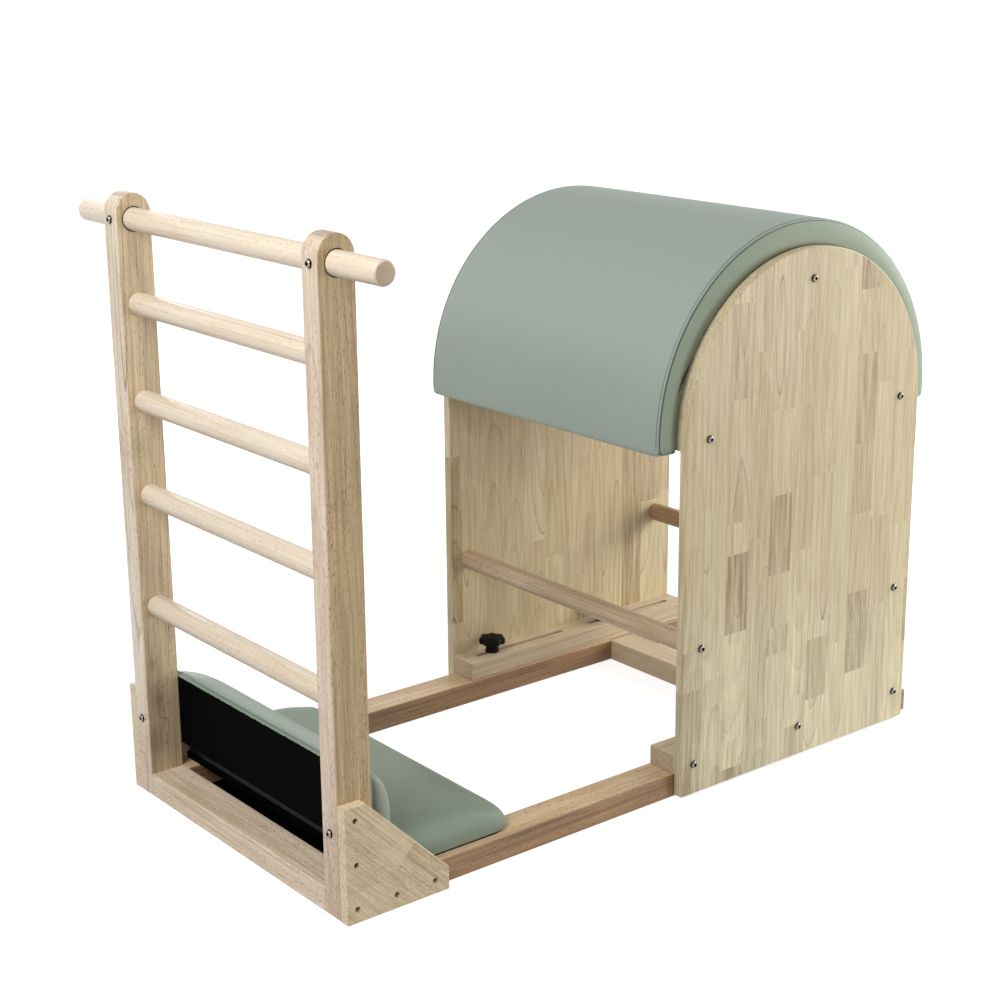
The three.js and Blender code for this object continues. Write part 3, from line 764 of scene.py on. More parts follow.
@dataclass
class Ladder:
    """Two uprights, the handle bar through them and four rungs."""

    edge: float = 2.2 * MM
    bar_end: float = 5 * MM
    rung_end: float = 0.8 * MM
    # How far past the bar's radius the painted shade round its bore reaches, in millimetres.
    bore_shade_width: float = 1.6
    # Painted shade: each upright's −Y face takes a darker colour for the weaker light that falls there.
    near_face_painted_shade: PaintedLight = PaintedLight(srgb(196, 172, 132), 1, -295.5, -297.5)
    far_face_painted_shade: PaintedLight = PaintedLight(srgb(208, 186, 150), 1, 259.4, 257.6)
    knots: tuple[tuple[Point, float], ...] = (
        ((-615, 51, 371), 15.0), ((-612, 51, 143), 7.0), ((-604, 51, 102), 14.0), ((-618, 51, 62), 16.0),
    )

    def build(self) -> None:
        """Builds the ladder."""
        low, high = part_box("handle_bar")
        bar = (low + high) / 2 / MM
        shaded_bores = ((bar.x, bar.z, (high.z - low.z) / 2 / MM + self.bore_shade_width),)
        finishes = {
            "near": Timber(Grain.UPRIGHT, (670.0, 262.0, 0.0), painted_light=self.near_face_painted_shade, shaded_bores=shaded_bores,
                           pale=srgb(233, 216, 194), tan=srgb(198, 166, 138), fibres=1.4, streaks=0.8, clouds=0.9,
                           pores=1.4),
            "far": Timber(Grain.UPRIGHT, (676.0, -282.0, 0.0), -0.05, 0.03, painted_light=self.far_face_painted_shade, shaded_bores=shaded_bores,
                          pale=srgb(240, 227, 206), tan=srgb(204, 176, 148), fibres=1.2, clouds=1.8, pores=0.8,
                          lines=0.8, eyes=self.knots),
        }
        for side, finish in finishes.items():
            node = f"upright_{side}"
            make.timber(node, Grain.UPRIGHT.mark_ends(eased_copy(node, self.edge)), finish)
        smooth = {"pale": srgb(233, 222, 203), "tan": srgb(206, 181, 150), "lines": 0.25, "streaks": 0.4}
        grip = Timber(Grain.ACROSS, (640.0, 890.0, 0.0), 0.02, spacing=9.0, fibres=0.7, tone=1.15, **smooth)
        make.bar("handle_bar", self.bar_end, grip)
        for number in range(1, 5):
            finish = Timber(Grain.ACROSS, (560.0 + 31 * number, 40.0 * number, 170.0 * number),
                            0.012 * (number - 2.5), spacing=8.0 + number, fibres=0.75,
                            tone=1.06 + 0.014 * number, **smooth)
            make.bar(f"rung_{number}", self.rung_end, finish)


@dataclass
class BaseFrame:
    """Cross rails, side rails and gussets."""

    edge: float = 2.2 * MM
    thin_edge: float = 1.2 * MM

    def build(self) -> None:
        """Builds the base frame."""
        browner = {"pale": srgb(232, 208, 172), "tan": srgb(192, 152, 114), "rise": 0.03, "clouds": 1.3,
                   "fibres": 1.5, "streaks": 0.6, "pores": 1.2}
        rails = {
            "front_cross_rail": Timber(Grain.ACROSS, (628.0, 70.0, 0.0), 0.03, depth=0.2, fibres=1.8, pores=1.2,
                                       pale=srgb(236, 217, 191)),
            "rear_cross_rail": Timber(Grain.ACROSS, (-360.0, 60.0, 0.0), -0.03),
            # Painted shade: the side rails' −Y faces take a darker, redder colour for the weaker light that falls
            # there.
            "side_rail_near": Timber(Grain.ALONG, (60.0, 330.0, 0.0), 0.02, **browner,
                                     painted_light=PaintedLight(srgb(168, 134, 99), 1, -295.5, -297.5)),
            "side_rail_far": Timber(Grain.ALONG, (40.0, -220.0, 0.0), -0.025, **browner,
                                    painted_light=PaintedLight(srgb(164, 128, 94), 1, 240.5, 238.5)),
        }
        for node, finish in rails.items():
            make.timber(node, finish.grain.mark_ends(eased_copy(node, self.edge)), finish)
        for side, sign in SIDES.items():
            finish = GluedBoard(Grain.SLOPING, (0.0, 40.0, 0.0), spacing=7.0, first_joint=18.0, width=64.0,
                                length=260.0, seed=2.0 + sign, chance_dark=0.0, pores=1.3, lines=0.1,
                                fibres=1.8, streaks=0.8, uneven=0.2, pale=srgb(241, 225, 191),
                                tan=srgb(194, 169, 132))
            make.timber(f"gusset_{side}", eased_copy(f"gusset_{side}", self.thin_edge), finish)


@dataclass
class Barrel:
    """Side panels, runners, dowels, battens and the bent deck."""

    edge: float = 2.0 * MM
    thin_edge: float = 1.5 * MM
    dowel_end: float = 0.8 * MM
    # Painted light: the near panel turns whiter towards its foot, standing for the light the floor throws up on it.
    foot: PaintedLight = PaintedLight(srgb(230, 219, 186), 2, 480.0, 20.0)
    staves: tuple[Stave, ...] = (
        Stave(0, -10, 188, 0.75), Stave(2, 662, 817, 0.62), Stave(2, 267, 403, 0.95), Stave(2, -10, 26, 0.8),
        Stave(4, 348, 485, 0.85), Stave(4, -10, 205, -0.15), Stave(6, 100, 210, 0.35), Stave(8, 805, 863, 0.8),
        Stave(8, 540, 695, 0.75), Stave(8, 415, 540, 0.6), Stave(8, 125, 272, 0.7), Stave(11, 150, 270, 0.9),
        Stave(5, -10, 62, 0.3), Stave(9, 400, 640, -0.1),
    )

    def build(self) -> None:
        """Builds the barrel's wooden pieces."""
        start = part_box("barrel_panel_near")[0].x / MM
        cream = {"pale": srgb(229, 218, 181), "tan": srgb(189, 169, 124), "fibres": 1.3, "lines": 0.55}
        panels = {
            "near": GluedBoard(Grain.UPRIGHT, (-start, 308.5, 0.0), staves=self.staves, chance_dark=0.0,
                               tone=0.955, painted_light=self.foot, **cream),
            "far": GluedBoard(Grain.UPRIGHT, (-start, -308.5, 0.0), seed=4.0, first_joint=24.0,
                              chance_dark=0.05, **cream),
        }
        for side, finish in panels.items():
            node, runner = f"barrel_panel_{side}", f"runner_{side}"
            make.timber(node, eased_copy(node, self.edge), finish, "barrel")
            mesh = Grain.ALONG.mark_ends(eased_copy(runner, self.thin_edge))
            make.timber(runner, mesh, Timber(Grain.ALONG, (-40.0, 240.0 * -SIDES[side], 0.0), 0.02), "barrel")
        for number, node in enumerate(("dowel_front", "dowel_rear")):
            finish = Timber(Grain.ACROSS, (90.0 - 200 * number, 300.0, 60.0 * number), 0.02,
                            pale=srgb(212, 189, 158), tan=srgb(176, 142, 110), fibres=1.5, clouds=1.2, pores=1.0)
            make.bar(node, self.dowel_end, finish, "barrel")
        for number, node in enumerate(("batten_front", "batten_rear", "batten_top")):
            finish = Timber(Grain.ACROSS, (30.0 * number, 500.0, 0.0), 0.03, spacing=8.0)
            make.timber(node, eased_copy(node, self.thin_edge), finish, "barrel")
        sheet = Timber(Grain.ACROSS, (-313.0, 1200.0, 0.0), 0.01, spacing=14.0)
        frame["nodes"]["barrel_deck"].data.materials[0] = sheet.material("timber_barrel_deck")


@dataclass
class BarrelPad:
    """The padded cover of the barrel, sewn from a top and two side bands."""

    section: tuple[Pair, ...] = (
        (276.0, 275.4), (290.0, 275.4), (295.6, 275.8), (297.4, 277.6), (298.2, 281.0), (298.5, 286.0),
        (298.4, 292.0), (297.9, 298.0), (297.0, 303.6), (295.9, 308.4), (294.9, 312.0), (294.3, 314.2),
        (293.9, 315.0), (293.4, 313.9), (293.0, 315.0), (292.8, 316.6), (292.3, 317.8), (291.5, 318.5),
        (290.6, 318.8), (289.8, 318.7), (289.2, 318.4), (288.8, 318.4), (288.2, 318.7), (287.2, 319.0),
        (281.0, 319.3), (266.0, 319.5), (236.0, 319.7), (180.0, 319.9), (90.0, 320.0),
    )
    inside: float = 275.4
    outside: float = 320.0
    seam: float = 293.4
    steps: int = 144
    drop: float = 24 * MM
    foot: tuple[Point, ...] = (
        (0.35, 1.0, 1.0), (0.65, 1.0, 0.9985), (0.85, 0.985, 0.994), (0.96, 0.94, 0.984), (1.0, 0.86, 0.974),
    )
    tuck: float = 7.0
    tuck_start: float = 35.0
    tuck_radii: Pair = (285.0, 291.5)
    tuck_from: float = 292 * MM
    stitch_pitch: float = 4.7 * MM
    stitch_row: float = 289.0 * MM
    stitch_radius: float = 318.6 * MM
    stitch_size: Point = (0.7 * MM, 0.7 * MM, 1.6 * MM)

    def middle(self) -> Vector:
        """The middle of the arch, where the straight feet of the pad start."""
        low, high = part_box("barrel_cushion")
        return Vector(((low.x + high.x) / 2, 0.0, low.z + self.drop))

    def arch(self, section: Sequence[Pair]) -> BMesh:
        """Sweeps a closed section round the arch and down to the pad's rounded feet.

        Args:
            section: pairs of a place across and a radius, in millimetres.
        Returns:
            The mesh, with capped feet.
        """
        middle = self.middle()
        mesh = bmesh.new()
        points = [mesh.verts.new((middle.x - radius * MM, across * MM, middle.z)) for across, radius in section]
        edges = [mesh.edges.new(pair) for pair in zip(points, points[1:] + points[:1])]
        bmesh.ops.spin(mesh, geom=points + edges, cent=middle, axis=(0, 1, 0), angle=math.pi, steps=self.steps)
        core = (min(radius for _, radius in section) + max(radius for _, radius in section)) / 2 * MM
        for side in (-1, 1):
            feet = [edge for edge in mesh.edges if len(edge.link_faces) == 1
                    and all(abs(vert.co.z - middle.z) < 1e-5 and (vert.co.x - middle.x) * side > 0
                            for vert in edge.verts)]
            done, thick, wide = 0.0, 1.0, 1.0
            for share, thickness, width in self.foot:
                grown = bmesh.ops.extrude_edge_only(mesh, edges=feet)["geom"]
                verts = [item for item in grown if isinstance(item, BMVert)]
                bmesh.ops.translate(mesh, vec=(0, 0, -self.drop * (share - done)), verts=verts)
                core_line = middle.x + side * core
                bmesh.ops.scale(mesh, vec=(thickness / thick, width / wide, 1), verts=verts,
                                space=Matrix.Translation((-core_line, 0, 0)))
                done, thick, wide = share, thickness, width
                feet = [item for item in grown if isinstance(item, BMEdge)
                        and abs(item.verts[0].co.z - item.verts[1].co.z) < 1e-6]
            bmesh.ops.contextual_create(mesh, geom=feet)
        tidy(mesh, JOIN)
        self.tuck_in(mesh)
        return mesh

    def tuck_in(self, mesh: BMesh) -> None:
        """Draws the foot of the side bands in under the swelling, more towards the ends of the arch."""
        middle = self.middle()
        inner, outer = self.tuck_radii
        for vert in mesh.verts:
            place = vert.co - middle
            rise = max(place.z, 0.0)
            radius = math.hypot(place.x, rise) / MM
            angle = math.degrees(math.atan2(abs(place.x), rise))
            if abs(vert.co.y) > self.tuck_from:
                sideways = smooth_step(angle, self.tuck_start, 90.0)
                amount = self.tuck * sideways * smooth_step(-radius, -outer, -inner)
                vert.co.y -= math.copysign(amount * MM, vert.co.y)

    def stitches(self, sign: int) -> BMesh:
        """The row of stitches beside one seam."""
        middle, radius, across = self.middle(), self.stitch_radius, sign * self.stitch_row
        one, row = bmesh.new(), bmesh.new()
        bmesh.ops.create_uvsphere(one, u_segments=6, v_segments=4, radius=1.0)
        bmesh.ops.scale(one, vec=self.stitch_size, verts=one.verts)
        stitch = stored(one, "stitch")
        count = int(math.pi * radius / self.stitch_pitch)
        places = [(middle + Vector((-radius * math.cos(a), across, radius * math.sin(a))), a)
                  for a in (math.pi * (i + 0.5) / count for i in range(count))]
        feet = int(self.drop * self.foot[1][0] / self.stitch_pitch)
        for i in range(feet):
            lower = -(i + 0.5) * self.stitch_pitch
            places += [(middle + Vector((side * radius, across, lower)), 0.0) for side in (-1, 1)]
        for place, angle in places:
            before = len(row.verts)
            row.from_mesh(stitch)
            row.verts.ensure_lookup_table()
            turn = Matrix.Translation(place) @ Matrix.Rotation(angle, 4, "Y")
            bmesh.ops.transform(row, matrix=turn, verts=row.verts[before:])
        bpy.data.meshes.remove(stitch)
        return row

    def build(self, vinyl: Material, thread: Material) -> None:
        """Builds the pad and the stitches beside its seams."""
        half = list(self.section)
        mirrored = [(-across, radius) for across, radius in reversed(half)]
        mesh = self.arch([*half, (0.0, self.outside), *mirrored, (0.0, self.inside)])
        pad = make.piece("barrel_pad", mesh, vinyl, "barrel", ["barrel_cushion"], crease=60)
        for side, sign in SIDES.items():
            make.piece(f"pad_stitches_{side}", self.stitches(sign), thread, "barrel", crease=80)


@dataclass
class Rests:
    """The back rest and the foot rest beside the ladder."""

    voxel: float = 5 * MM
    swell: float = 2 * MM
    shrink: float = 2 * MM
    frames: int = 20
    smoothing: int = 14
    hem: float = 13 * MM
    spare: float = 7 * MM
    board_gap: float = 0.3 * MM
    pressure: float = 2.5
    stiffness: float = 20.0
    top_room: float = 3 * MM
    front_room: float = 2 * MM
    board_edge: float = 1.0 * MM
    board_hold: float = 4 * MM
    bottom: float = 2 * MM
    wrap: float = 1.2
    cloth_reach: float = 8.0
    # Painted shade: the foot cushion's vinyl is darker than the other cushions', standing for the ladder's shadow
    # over it.
    foot_shaded_colour: Colour = srgb(138, 153, 137)

    def cushion(self, node: str, name: str, vinyl: Material, lap: bool = False) -> Object:
        """Makes a stuffed cushion in place of a plain solid, puffed up by a cloth simulation.

        Args:
            node: the solid that it stands for.
            name: the cushion's name.
            vinyl: its material.
            lap: whether its cover laps down over the board below it.
        Returns:
            The cushion.
        """
        mesh = solid_copy(node)
        low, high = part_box(node)
        if lap:
            hull = bmesh.ops.convex_hull(mesh, input=mesh.verts)
            bmesh.ops.delete(mesh, geom=hull["geom_interior"] + hull["geom_unused"], context="VERTS")
            tidy(mesh, JOIN)
        mesh.normal_update()
        for vert in mesh.verts:
            inset = vert.normal * self.shrink
            if vert.co.z < low.z + self.bottom:
                inset.z = self.spare if lap else 0.0
            vert.co -= inset
        made = make.piece(name, mesh, vinyl, "frame", [node], crease=180)
        remesh = made.modifiers.new("even_faces", "REMESH")
        remesh.mode = "VOXEL"
        remesh.voxel_size = self.voxel
        remesh.use_smooth_shade = True
        self.apply(made)
        held = low.z + (self.hem if lap else self.board_hold)
        self.inflate(made, held)
        self.soften(made, low, high, held if lap else -1.0)
        if lap:
            self.trim(made, low.z)
        return made

    def trim(self, made: Object, base: float) -> None:
        """Cuts a cushion off at the hem of its cover and hollows it out for the board that it laps over."""
        mesh = opened(made.data)
        cut = bmesh.ops.bisect_plane(mesh, geom=[*mesh.verts, *mesh.edges, *mesh.faces], plane_co=(0, 0, base),
                                     plane_no=(0, 0, -1), clear_outer=True)
        bmesh.ops.contextual_create(mesh, geom=[item for item in cut["geom_cut"] if isinstance(item, BMEdge)])
        mesh.to_mesh(made.data)
        mesh.free()
        room = solid_copy("foot_board")
        low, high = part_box("foot_board")
        middle, half = (low + high) / 2, (high - low) / 2
        for vert in room.verts:
            place = vert.co - middle
            for axis in range(3):
                place[axis] *= 1 + self.board_gap / half[axis]
            for axis in (0, 2):
                if place[axis] < 0:
                    place[axis] -= self.hem
            vert.co = middle + place
        data = stored(room, "board_room")
        cutter = placed("board_room", data)
        hollow = made.modifiers.new("board_room", "BOOLEAN")
        hollow.operation = "DIFFERENCE"
        hollow.solver = "EXACT"
        hollow.object = cutter
        self.apply(made)
        bpy.data.objects.remove(cutter)
        bpy.data.meshes.remove(data)
        made.data.shade_smooth()
        made.data.set_sharp_from_angle(angle=math.radians(50))

    def apply(self, made: Object) -> None:
        """Takes the shape that the object's modifiers give as its own mesh."""
        graph = bpy.context.evaluated_depsgraph_get()
        data = bpy.data.meshes.new_from_object(made.evaluated_get(graph), depsgraph=graph)
        old = made.data
        made.modifiers.clear()
        made.data = data
        bpy.data.meshes.remove(old)

    def inflate(self, made: Object, floor: float) -> None:
        """Puffs a cushion up with a cloth simulation, held below a height, and caps how far each point moves."""
        start = np.array([vert.co for vert in made.data.vertices], float)
        held = made.vertex_groups.new(name="held")
        held.add([i for i, point in enumerate(start) if point[2] < floor], 1.0, "REPLACE")
        cloth = made.modifiers.new("stuffing", "CLOTH")
        settings = {"quality": 6, "mass": 0.3, "use_pressure": True, "uniform_pressure_force": self.pressure,
                    "vertex_group_mass": "held", "tension_stiffness": self.stiffness,
                    "compression_stiffness": self.stiffness}
        for key, value in settings.items():
            setattr(cloth.settings, key, value)
        cloth.settings.effector_weights.gravity = 0.0
        cloth.point_cache.frame_start = 1
        cloth.point_cache.frame_end = self.frames
        scene = bpy.context.scene
        for step in range(1, self.frames + 1):
            scene.frame_set(step)
        self.apply(made)
        scene.frame_set(1)
        end = np.array([vert.co for vert in made.data.vertices], float)
        move = end - start
        length = np.linalg.norm(move, axis=1, keepdims=True)
        move *= np.minimum(1.0, self.swell / np.maximum(length, 1e-9))
        made.data.vertices.foreach_set("co", (start + move).ravel())
        made.data.update()

    def soften(self, made: Object, low: Vector, high: Vector, hem: float) -> None:
        """Smooths a cushion above its hem, keeps it within its solid's box and gives it finer faces."""
        mesh = opened(made.data)
        free = [vert for vert in mesh.verts if vert.co.z > hem]
        for _ in range(self.smoothing):
            bmesh.ops.smooth_vert(mesh, verts=free, factor=0.5, use_axis_x=True, use_axis_y=True, use_axis_z=True)
        floor = low.z if hem < 0 else low.z - self.spare
        for vert in mesh.verts:
            vert.co.z = min(max(vert.co.z, floor), high.z + self.top_room)
            vert.co.x = min(max(vert.co.x, low.x), high.x + self.front_room)
            vert.co.y = min(max(vert.co.y, low.y), high.y)
        mesh.to_mesh(made.data)
        mesh.free()
        made.data.shade_smooth()
        finer = made.modifiers.new("finer", "SUBSURF")
        finer.levels = 1
        finer.render_levels = 1
        self.apply(made)

    def build(self, vinyl: Material) -> None:
        """Builds both rests."""
        low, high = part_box("back_board")
        wrap = self.wrap
        wrapped = BlackCloth(edge_height=high.z / MM, edge_ends=(low.y / MM + wrap, high.y / MM - wrap))
        for node, cloth in {"back_board": wrapped, "foot_board": BlackCloth()}.items():
            make.piece(f"{node}_covered", eased_copy(node, self.board_edge), cloth.material(f"cloth_{node}"),
                       "frame", [node], weighted=True)
        self.cushion("back_cushion", "back_cushion_soft", vinyl)
        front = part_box("foot_cushion")[0].x / MM
        lapped = Vinyl(self.foot_shaded_colour, cloth_front=front + self.cloth_reach).material("sage_vinyl_lapped_shaded")
        self.cushion("foot_cushion", "foot_cushion_soft", lapped, lap=True)


@dataclass
class Fasteners:
    """Button head bolts, gusset screws, and the studs and inserts of the clamps."""

    head: tuple[Pair, ...] = (
        (4.0, 0.0), (6.35, 0.0), (6.5, 0.15), (6.5, 0.9), (6.35, 1.5), (5.9, 2.4), (5.1, 3.4), (4.2, 4.1),
        (3.5, 4.42), (3.1, 4.5), (2.7, 4.4), (2.62, 1.6), (0.0, 1.5),
    )
    head_height: float = 4.5 * MM
    shank: float = 4.0 * MM
    thread: float = 3.2 * MM
    socket_width: float = 5.0
    socket_wall: Pair = (2.0 * MM, 2.8 * MM)
    screw: tuple[Pair, ...] = (
        (0.0, 0.0), (4.1, 0.0), (4.1, 4.2), (3.4, 5.4), (1.9, 5.8), (1.7, 5.6), (1.6, 3.4), (0.0, 3.3),
    )
    screw_recess: float = 1.75 * MM
    screw_places: tuple[tuple[int, int], ...] = ((0, 0), (1, 0), (2, 0), (0, 1), (0, 2))
    screw_inset: float = 18.0
    screw_rise: float = 22.0
    screw_pitch: float = 70.0
    screw_depth: float = 10 * MM

    def bolt(self, length: float) -> BMesh:
        """Turns a bolt with its head on the origin, and gives it a hexagon socket.

        Args:
            length: how far its shank hangs below the head, in metres.
        Returns:
            The mesh.
        """
        shank = [(0.0, -length), (self.thread, -length), (self.shank, -length + 0.8 * MM)]
        mesh = turned(shank + in_metres(self.head), 48)
        for vert in mesh.verts:
            radius = math.hypot(vert.co.x, vert.co.y)
            if self.socket_wall[0] < radius < self.socket_wall[1] and vert.co.z > MM:
                angle = math.atan2(vert.co.y, vert.co.x) % math.radians(60) - math.radians(30)
                grow = self.socket_width / 2 * MM / math.cos(angle) / radius
                vert.co.x *= grow
                vert.co.y *= grow
        return marked(mesh, "socket", self.in_painted_shade)

    def in_painted_shade(self, face: BMFace) -> bool:
        """Whether a face of a bolt's head lies in its socket or under its rim, where shade is painted."""
        middle = face.calc_center_median()
        place = math.hypot(middle.x, middle.y) / MM
        return place < 2.9 and middle.z > MM or place > 5.8 and middle.z < 2 * MM

    def recessed(self, face: BMFace) -> bool:
        """Whether a face of a screw lies in its recess, where shade is painted."""
        middle = face.calc_center_median()
        return math.hypot(middle.x, middle.y) < self.screw_recess and middle.z > MM

    def build(self) -> None:
        """Builds every fastener."""
        steel = Metal().material("stainless_steel")
        brass = Metal(srgb(196, 160, 96), 0.32).material("brass_insert")
        zinc = Metal(srgb(118, 98, 72), 0.42).material("screw_steel")
        for node, solid in frame["nodes"].items():
            if "bolt_" in node:
                self.replace_bolt(node, steel)
            elif node.startswith("stud_"):
                low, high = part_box(node)
                radius, length = (high.y - low.y) / 2, high.z - low.z
                rod = turned([(0, 0), (radius - MM, 0), (radius, MM), (radius, length - MM), (radius - MM, length),
                              (0, length)], 32)
                bmesh.ops.translate(rod, vec=foot_of(node), verts=rod.verts)
                make.piece(f"{node}_turned", rod, steel, solid["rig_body"], [node])
            elif node.startswith("insert_"):
                solid.data.materials[0] = brass
        self.gusset_screws(zinc)

    def replace_bolt(self, node: str, steel: Material) -> None:
        """Puts a finely turned bolt in a plain one's place."""
        low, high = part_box(node)
        middle = (low + high) / 2
        if node.startswith("ladder"):
            body, direction, length = "frame", (-1, 0, 0), high.x - low.x
            seat = Vector((low.x + self.head_height, middle.y, middle.z))
        else:
            sign = 1 if middle.y > 0 else -1
            body, direction, length = "barrel", (0, sign, 0), high.y - low.y
            seat = Vector((middle.x, (high.y if sign > 0 else low.y) - sign * self.head_height, middle.z))
        mesh = self.bolt(length - self.head_height)
        bmesh.ops.transform(mesh, matrix=towards(direction, seat), verts=mesh.verts)
        make.piece(f"{node}_turned", mesh, steel, body, [node], crease=40)

    def gusset_screws(self, zinc: Material) -> None:
        """Sets a sunk screw in each of the gussets' holes."""
        for side, sign in SIDES.items():
            low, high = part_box(f"gusset_{side}")
            outer = high.y if sign > 0 else low.y
            for number, (column, row) in enumerate(self.screw_places, 1):
                place = Vector((low.x + (self.screw_inset + self.screw_pitch * column) * MM,
                                outer - sign * self.screw_depth,
                                low.z + (self.screw_rise + self.screw_pitch * row) * MM))
                mesh = marked(turned(in_metres(self.screw), 32), "socket", self.recessed)
                bmesh.ops.transform(mesh, matrix=towards((0, sign, 0), place), verts=mesh.verts)
                make.piece(f"gusset_screw_{number}_{side}", mesh, zinc, "frame", crease=40)


@dataclass
class Knobs:
    """The four moulded star knobs that clamp the barrel."""

    radius: float = 25 * MM
    lobes: int = 7
    dip: float = 4 * MM
    sharpness: float = 1.4
    foot: float = 16.6
    hub: float = 5 * MM
    boss: tuple[Pair, ...] = (
        (4.3, 20.3), (4.3, 0.0), (12.4, 0.0), (13.0, 0.5), (13.0, 2.0), (12.2, 6.0), (11.7, 12.0), (11.8, 17.6),
        (10.0, 19.0), (4.3, 20.3),
    )
    head: tuple[tuple[float, float, float], ...] = (
        (0.80, 16.6, 0.6), (0.93, 17.0, 0.95), (0.985, 17.8, 1.0), (1.0, 19.2, 1.0), (1.0, 25.6, 1.0),
        (0.985, 27.0, 1.0), (0.94, 28.2, 1.0), (0.86, 29.0, 0.9), (0.70, 29.7, 0.55), (0.46, 30.2, 0.15),
        (0.34, 30.5, 0.0), (0.30, 30.4, 0.0), (0.29, 29.6, 0.0), (0.27, 29.5, 0.0), (0.26, 30.0, 0.0),
        (0.0, 30.2, 0.0),
    )

    def shape(self) -> BMesh:
        """The knob standing on the origin."""
        profile = [(0.0, self.foot * MM)] + [(share * self.radius, height * MM) for share, height, _ in self.head]
        mesh = turned(profile, self.lobes * 14)
        depth = {round(height, 3): lobe for _, height, lobe in self.head}
        for vert in mesh.verts:
            radius = math.hypot(vert.co.x, vert.co.y)
            if radius < self.hub:
                continue
            angle = math.atan2(vert.co.y, vert.co.x)
            wave = (1 - math.cos(self.lobes * angle)) / 2
            lobe = depth.get(round(vert.co.z / MM, 3), 0.0)
            shrink = 1 - self.dip * lobe * wave ** self.sharpness / radius
            vert.co.x *= shrink
            vert.co.y *= shrink
        data = stored(turned(in_metres(self.boss), 48), "stem")
        mesh.from_mesh(data)
        bpy.data.meshes.remove(data)
        return mesh

    def build(self, plastic: Material) -> None:
        """Builds the knobs."""
        for side in SIDES:
            for end in ("front", "rear"):
                node = f"knob_{end}_{side}"
                mesh = self.shape()
                bmesh.ops.translate(mesh, vec=foot_of(node), verts=mesh.verts)
                make.piece(f"{node}_moulded", mesh, plastic, f"clamp_{end}_{side}",
                           [node], crease=50)


@dataclass(frozen=True)
class Lamp:
    """A square soft lamp: where it hangs, what it faces, its width, its power in watts and its tint."""

    place: Point
    target: Point
    size: float
    power: float
    tint: Point = (1.0, 1.0, 1.0)

    def hang(self, name: str) -> None:
        """Hangs the lamp in the scene, out of the camera's sight."""
        data = bpy.data.lights.new(name, "AREA")
        data.shape = "SQUARE"
        data.size = self.size
        data.energy = self.power
        data.color = self.tint
        made = placed(name, data)
        made.visible_camera = False
        turn = (Vector(self.target) - Vector(self.place)).to_track_quat("-Z", "Y").to_matrix().to_4x4()
        made.matrix_world = Matrix.Translation(Vector(self.place)) @ turn


LAMPS = {
    "key": Lamp((-2.6, -0.65, 2.6), (-0.1, 0.0, 0.4), 1.7, 75.0, (0.95, 0.97, 1.0)),
    "fill": Lamp((2.2, -2.6, 0.35), (0.3, 0.0, 0.2), 1.4, 42.0, (1.0, 0.95, 0.86)),
    "rear": Lamp((2.6, -0.5, 1.3), (0.3, 0.2, 0.3), 1.5, 50.0),
    "back": Lamp((0.2, 3.4, 1.2), (0.0, 0.0, 0.4), 1.6, 26.0, (1.0, 0.97, 0.92)),
}


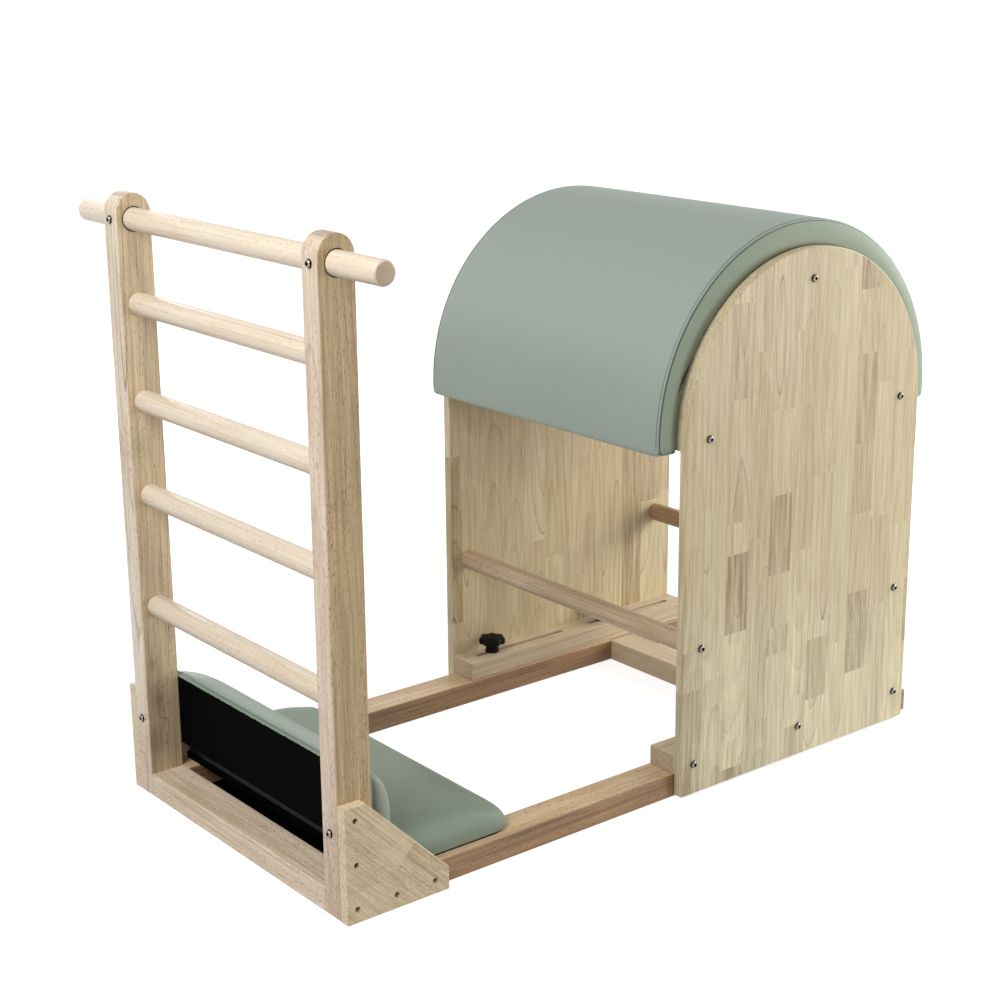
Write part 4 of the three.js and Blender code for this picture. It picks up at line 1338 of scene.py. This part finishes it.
@dataclass
class Studio:
    """The camera of the photograph, soft lamps, and a white floor and background."""

    position: Point = (-2.0030, -2.4010, 1.3703)
    yaw: float = math.radians(38.58)
    pitch: float = math.radians(-16.34)
    roll: float = math.radians(-0.506)
    focal_pixels: float = 1917.7
    image_pixels: float = 1000.0
    sensor: float = 36.0
    room_tint: Colour = (1.0, 0.975, 0.93, 1.0)
    room_light: float = 0.3
    glow: float = 1.05
    glow_rise: Pair = (700.0, 2400.0)
    shade_front: Pair = (-612.0, -596.0)
    shade_rear: Pair = (-330.0, -290.0)
    shade_side: Pair = (262.0, 290.0)

    def camera(self) -> None:
        """Makes the camera where the photograph's stood."""
        forward = Vector((math.sin(self.yaw) * math.cos(self.pitch), math.cos(self.yaw) * math.cos(self.pitch),
                          math.sin(self.pitch)))
        level = Vector((math.cos(self.yaw), -math.sin(self.yaw), 0.0))
        above = level.cross(forward)
        right = level * math.cos(self.roll) + above * math.sin(self.roll)
        up = above * math.cos(self.roll) - level * math.sin(self.roll)
        data = bpy.data.cameras.new("camera")
        data.sensor_width = self.sensor
        data.lens = self.focal_pixels / self.image_pixels * self.sensor
        data.clip_end = 100.0
        made = placed("camera", data)
        turn = Matrix((right, up, -forward)).transposed().to_4x4()
        made.matrix_world = Matrix.Translation(Vector(self.position)) @ turn
        bpy.context.scene.camera = made

    def floor(self) -> None:
        """Lays the floor: white to the camera wherever no shadow falls, and painted near-black, with its glow cut,
        in a patch under the rests where deep shade falls.
        """
        mesh = bmesh.new()
        bmesh.ops.create_grid(mesh, x_segments=2, y_segments=2, size=30.0)
        made = placed("floor", stored(mesh, "floor"))
        graph = Graph("floor_paper")
        x, y, _ = graph.parts(graph.place())
        away = (x * x + y * y).sqrt().smooth(*self.glow_rise)
        # Painted shade: a near-black patch with no glow on the floor under the rests.
        along = x.smooth(*self.shade_front) * (1.0 - x.smooth(*self.shade_rear))
        painted_shade_patch = along * (1.0 - y.absolute().smooth(*self.shade_side))
        glow = graph.shade((1.0, 1.0, 1.0), (away * 0.25 + 0.75) * (1.0 - painted_shade_patch))
        paper = graph.mix(painted_shade_patch, srgb(176, 176, 176), srgb(10, 10, 10))
        graph.finish(base_color=paper, roughness=0.9, specular_ior_level=0.0, emission_color=glow)
        made.data.materials.append(graph.material)
        path = graph.node("ShaderNodeLightPath")
        seen = graph.math("MAXIMUM", Value(graph, path.outputs["Is Camera Ray"]),
                          Value(graph, path.outputs["Is Glossy Ray"]))
        graph.feed(graph.shader.inputs["Emission Strength"], seen * self.glow)

    def world(self) -> None:
        """Lights the room evenly and shows it white."""
        world = bpy.data.worlds.new("room")
        world.use_nodes = True
        bpy.context.scene.world = world
        nodes = world.node_tree.nodes
        even = nodes["Background"]
        kinds = ("LightPath", "Background", "Math", "MixShader")
        path, white, either, mix = (nodes.new(f"ShaderNode{kind}") for kind in kinds)
        for node, tint, strength in ((even, self.room_tint, self.room_light), (white, (1.0, 1.0, 1.0, 1.0), 1.0)):
            node.inputs["Color"].default_value = tint
            node.inputs["Strength"].default_value = strength
        either.operation = "MAXIMUM"
        links = (
            (path.outputs["Is Camera Ray"], either.inputs[0]), (path.outputs["Is Glossy Ray"], either.inputs[1]),
            (either.outputs[0], mix.inputs[0]), (even.outputs[0], mix.inputs[1]), (white.outputs[0], mix.inputs[2]),
            (mix.outputs[0], nodes["World Output"].inputs["Surface"]),
        )
        for start, end in links:
            world.node_tree.links.new(start, end)

    def build(self) -> None:
        """Builds the studio."""
        self.camera()
        self.floor()
        self.world()
        for name, lamp in LAMPS.items():
            lamp.hang(name)
        bpy.context.scene.view_settings.view_transform = "Standard"


def main() -> None:
    """Builds every part of the scene."""
    logging.basicConfig(level=logging.INFO, format="%(name)s: %(message)s")
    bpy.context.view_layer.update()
    Studio().build()
    Ladder().build()
    BaseFrame().build()
    Barrel().build()
    pad = BarrelPad()
    pad.build(Vinyl(seam=pad.seam).material("sage_vinyl_banded"), Thread().material("seam_thread"))
    Rests().build(Vinyl().material("sage_vinyl"))
    Fasteners().build()
    Knobs().build(MouldedPlastic().material("knob_plastic"))
    log.info("%d pieces made", make.count)


if __name__ == "__main__":
    main()
